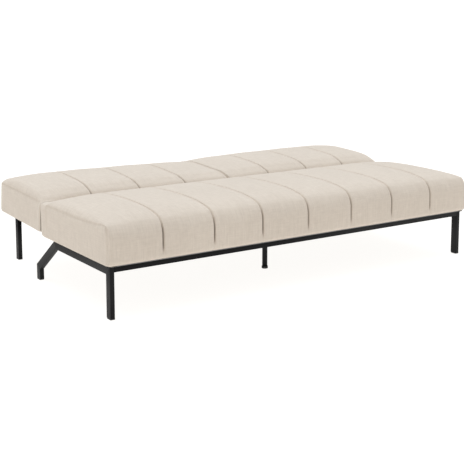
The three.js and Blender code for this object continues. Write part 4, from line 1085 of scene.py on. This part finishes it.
for name in ("front", "rear", "left", "right"):
    finish_node("back_frame_" + name, drawn_tube, edge=1.2 * MM)
low, high = back_box("back_spring_unit")
tube_low, tube_high = back_box("back_frame_left")
mesh = spring_mesh("back_springs", low, high, tube_low.y + half_tube, tube_high.y - half_tube)
mesh.transform(BACK_PLACE)
springs = new_piece("back_springs", mesh, spring_wire, "back")
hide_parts("back_spring_unit")


# Dust cover of the back: the same cloth, stretched under the back's frame.
low, high = back_box("back_dust_cover")
inner_low, inner_high = back_box("back_frame_rear")
cells = [(inner_low.x, inner_high.x, tube_low.y + 2 * half_tube, inner_low.y)]
mesh = dust_cover_mesh("back_dust_cloth", low, high, cells, sag=3.5 * MM)
mesh.transform(BACK_PLACE)
cloth = new_piece("back_dust_cloth", mesh, spunbond, "back")
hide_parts("back_dust_cover")


# Back cushion: made like the seat, with deeper foam under its rear edge. It has sunk a little in
# the middle, and its middle seam is sewn deeper. It is drawn here from the hinge line.
BACK_LOW = -122.0
# How deep the top has sunk, where and how wide: a broad hollow and a narrow one at the deep seam
BROAD_HOLLOW = (8, -150, 420)
SEAM_HOLLOW = (9, -30, 130)
SAG_START, SAG_FULL, SAG_HEIGHT = -10, 140, 50


def back_sag(x, y, z):
    """How far the back's top has sunk."""
    depth, middle, width = BROAD_HOLLOW
    hollow = depth * np.exp(-((x - middle) / width) ** 2)
    depth, middle, width = SEAM_HOLLOW
    hollow += depth * np.exp(-(np.abs(x - middle) / width) ** 1.5)
    hollow *= np.clip((y - SAG_START) / (SAG_FULL - SAG_START), 0, 1)
    return hollow * np.clip(z / SAG_HEIGHT, 0, 1)


back_front = curve_through([
    (12, BACK_LOW, 0, 0), (5.3, BACK_LOW + 3, 0, 0), (2.3, BACK_LOW + 10, 0, 0),
    (1.4, -60, 0, 0), (0.6, -20, 0, 0), (0.3, 0, 0, 0)])
back_top = curve_through([
    (0.3, 0, 0, 0), (3, 13, 0, 0), (8, 23.5, 0, 0), (16, 32, 0.1, 0), (28, 40, 0.3, 0),
    (47, 48, 0.7, 0), (68, 56.5, 1, 0), (127, 65.5, 1, 0), (188, 68.6, 1, 0), (249, 69.7, 1, 0),
    (310, 70, 1, 0), (375, 65, 1, 0), (415, 57.5, 1, 0), (445, 49, 1, 0), (463, 41, 1, 0),
    (477, 31, 1, 0), (486, 19, 1, 0)])
back_rear = curve_through([
    (485.5, 19, 1, 0), (490, 0, 1, 0.3), (494, -36, 0.9, 0.5), (497, -70, 0.6, 0.2),
    (499, -108, 0.2, 0), (496, BACK_LOW + 3, 0.08, 0), (489, BACK_LOW, 0, 0)])
back_bottom = curve_through([(489, BACK_LOW, 0, 0), (250, BACK_LOW, 0, 0), (12, BACK_LOW, 0, 0)])
mesh = quilted_cover(
    "quilted_back", [back_front, back_top, back_rear, back_bottom], (20, 62, 20, 62),
    {"side_seam": ((0, 7), (40, 12), (90, 16), (300, 15), (500, 13)), "outer_y": 504,
     "joint_y": 0.3, "outward": 1, "low": BACK_LOW, "valley": 0, "crest": 3.0, "sag": back_sag,
     "deep_seam": 3, "seam_shade": 0.24, "seam_wide": 3, "veer": 16, "end": (0.7, 1.8), "hem": 6})
back = new_piece("quilted_back", mesh, fabric, "back")
cut_slots(back, front=-10, rear=105.5, low=-130, high=12.5)
back.data.transform(BACK_PLACE)
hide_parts("back_cushion")


# Back support legs: the same flat tube, welded plumb under a small plate that follows the back's
# slope and is bolted through the dust cover to the back's frame.
WELD_GAP = 0.4 * MM
for end in END_NAMES:
    low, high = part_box(f"back_leg_{end}")
    middle = (low + high) / 2
    path = [(middle.x, middle.y, low.z), (middle.x, middle.y, high.z - WELD_GAP)]
    mesh = tube_mesh(f"back_leg_tube_{end}", path, (1, 0, 0), TUBE_SLIM / 2, TUBE_DEEP / 2)
    leg = new_piece(f"back_leg_tube_{end}", mesh, powder_coat, "back")
    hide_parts(f"back_leg_{end}")
    finish_node(f"back_leg_plate_{end}", powder_coat, edge=0.8 * MM)
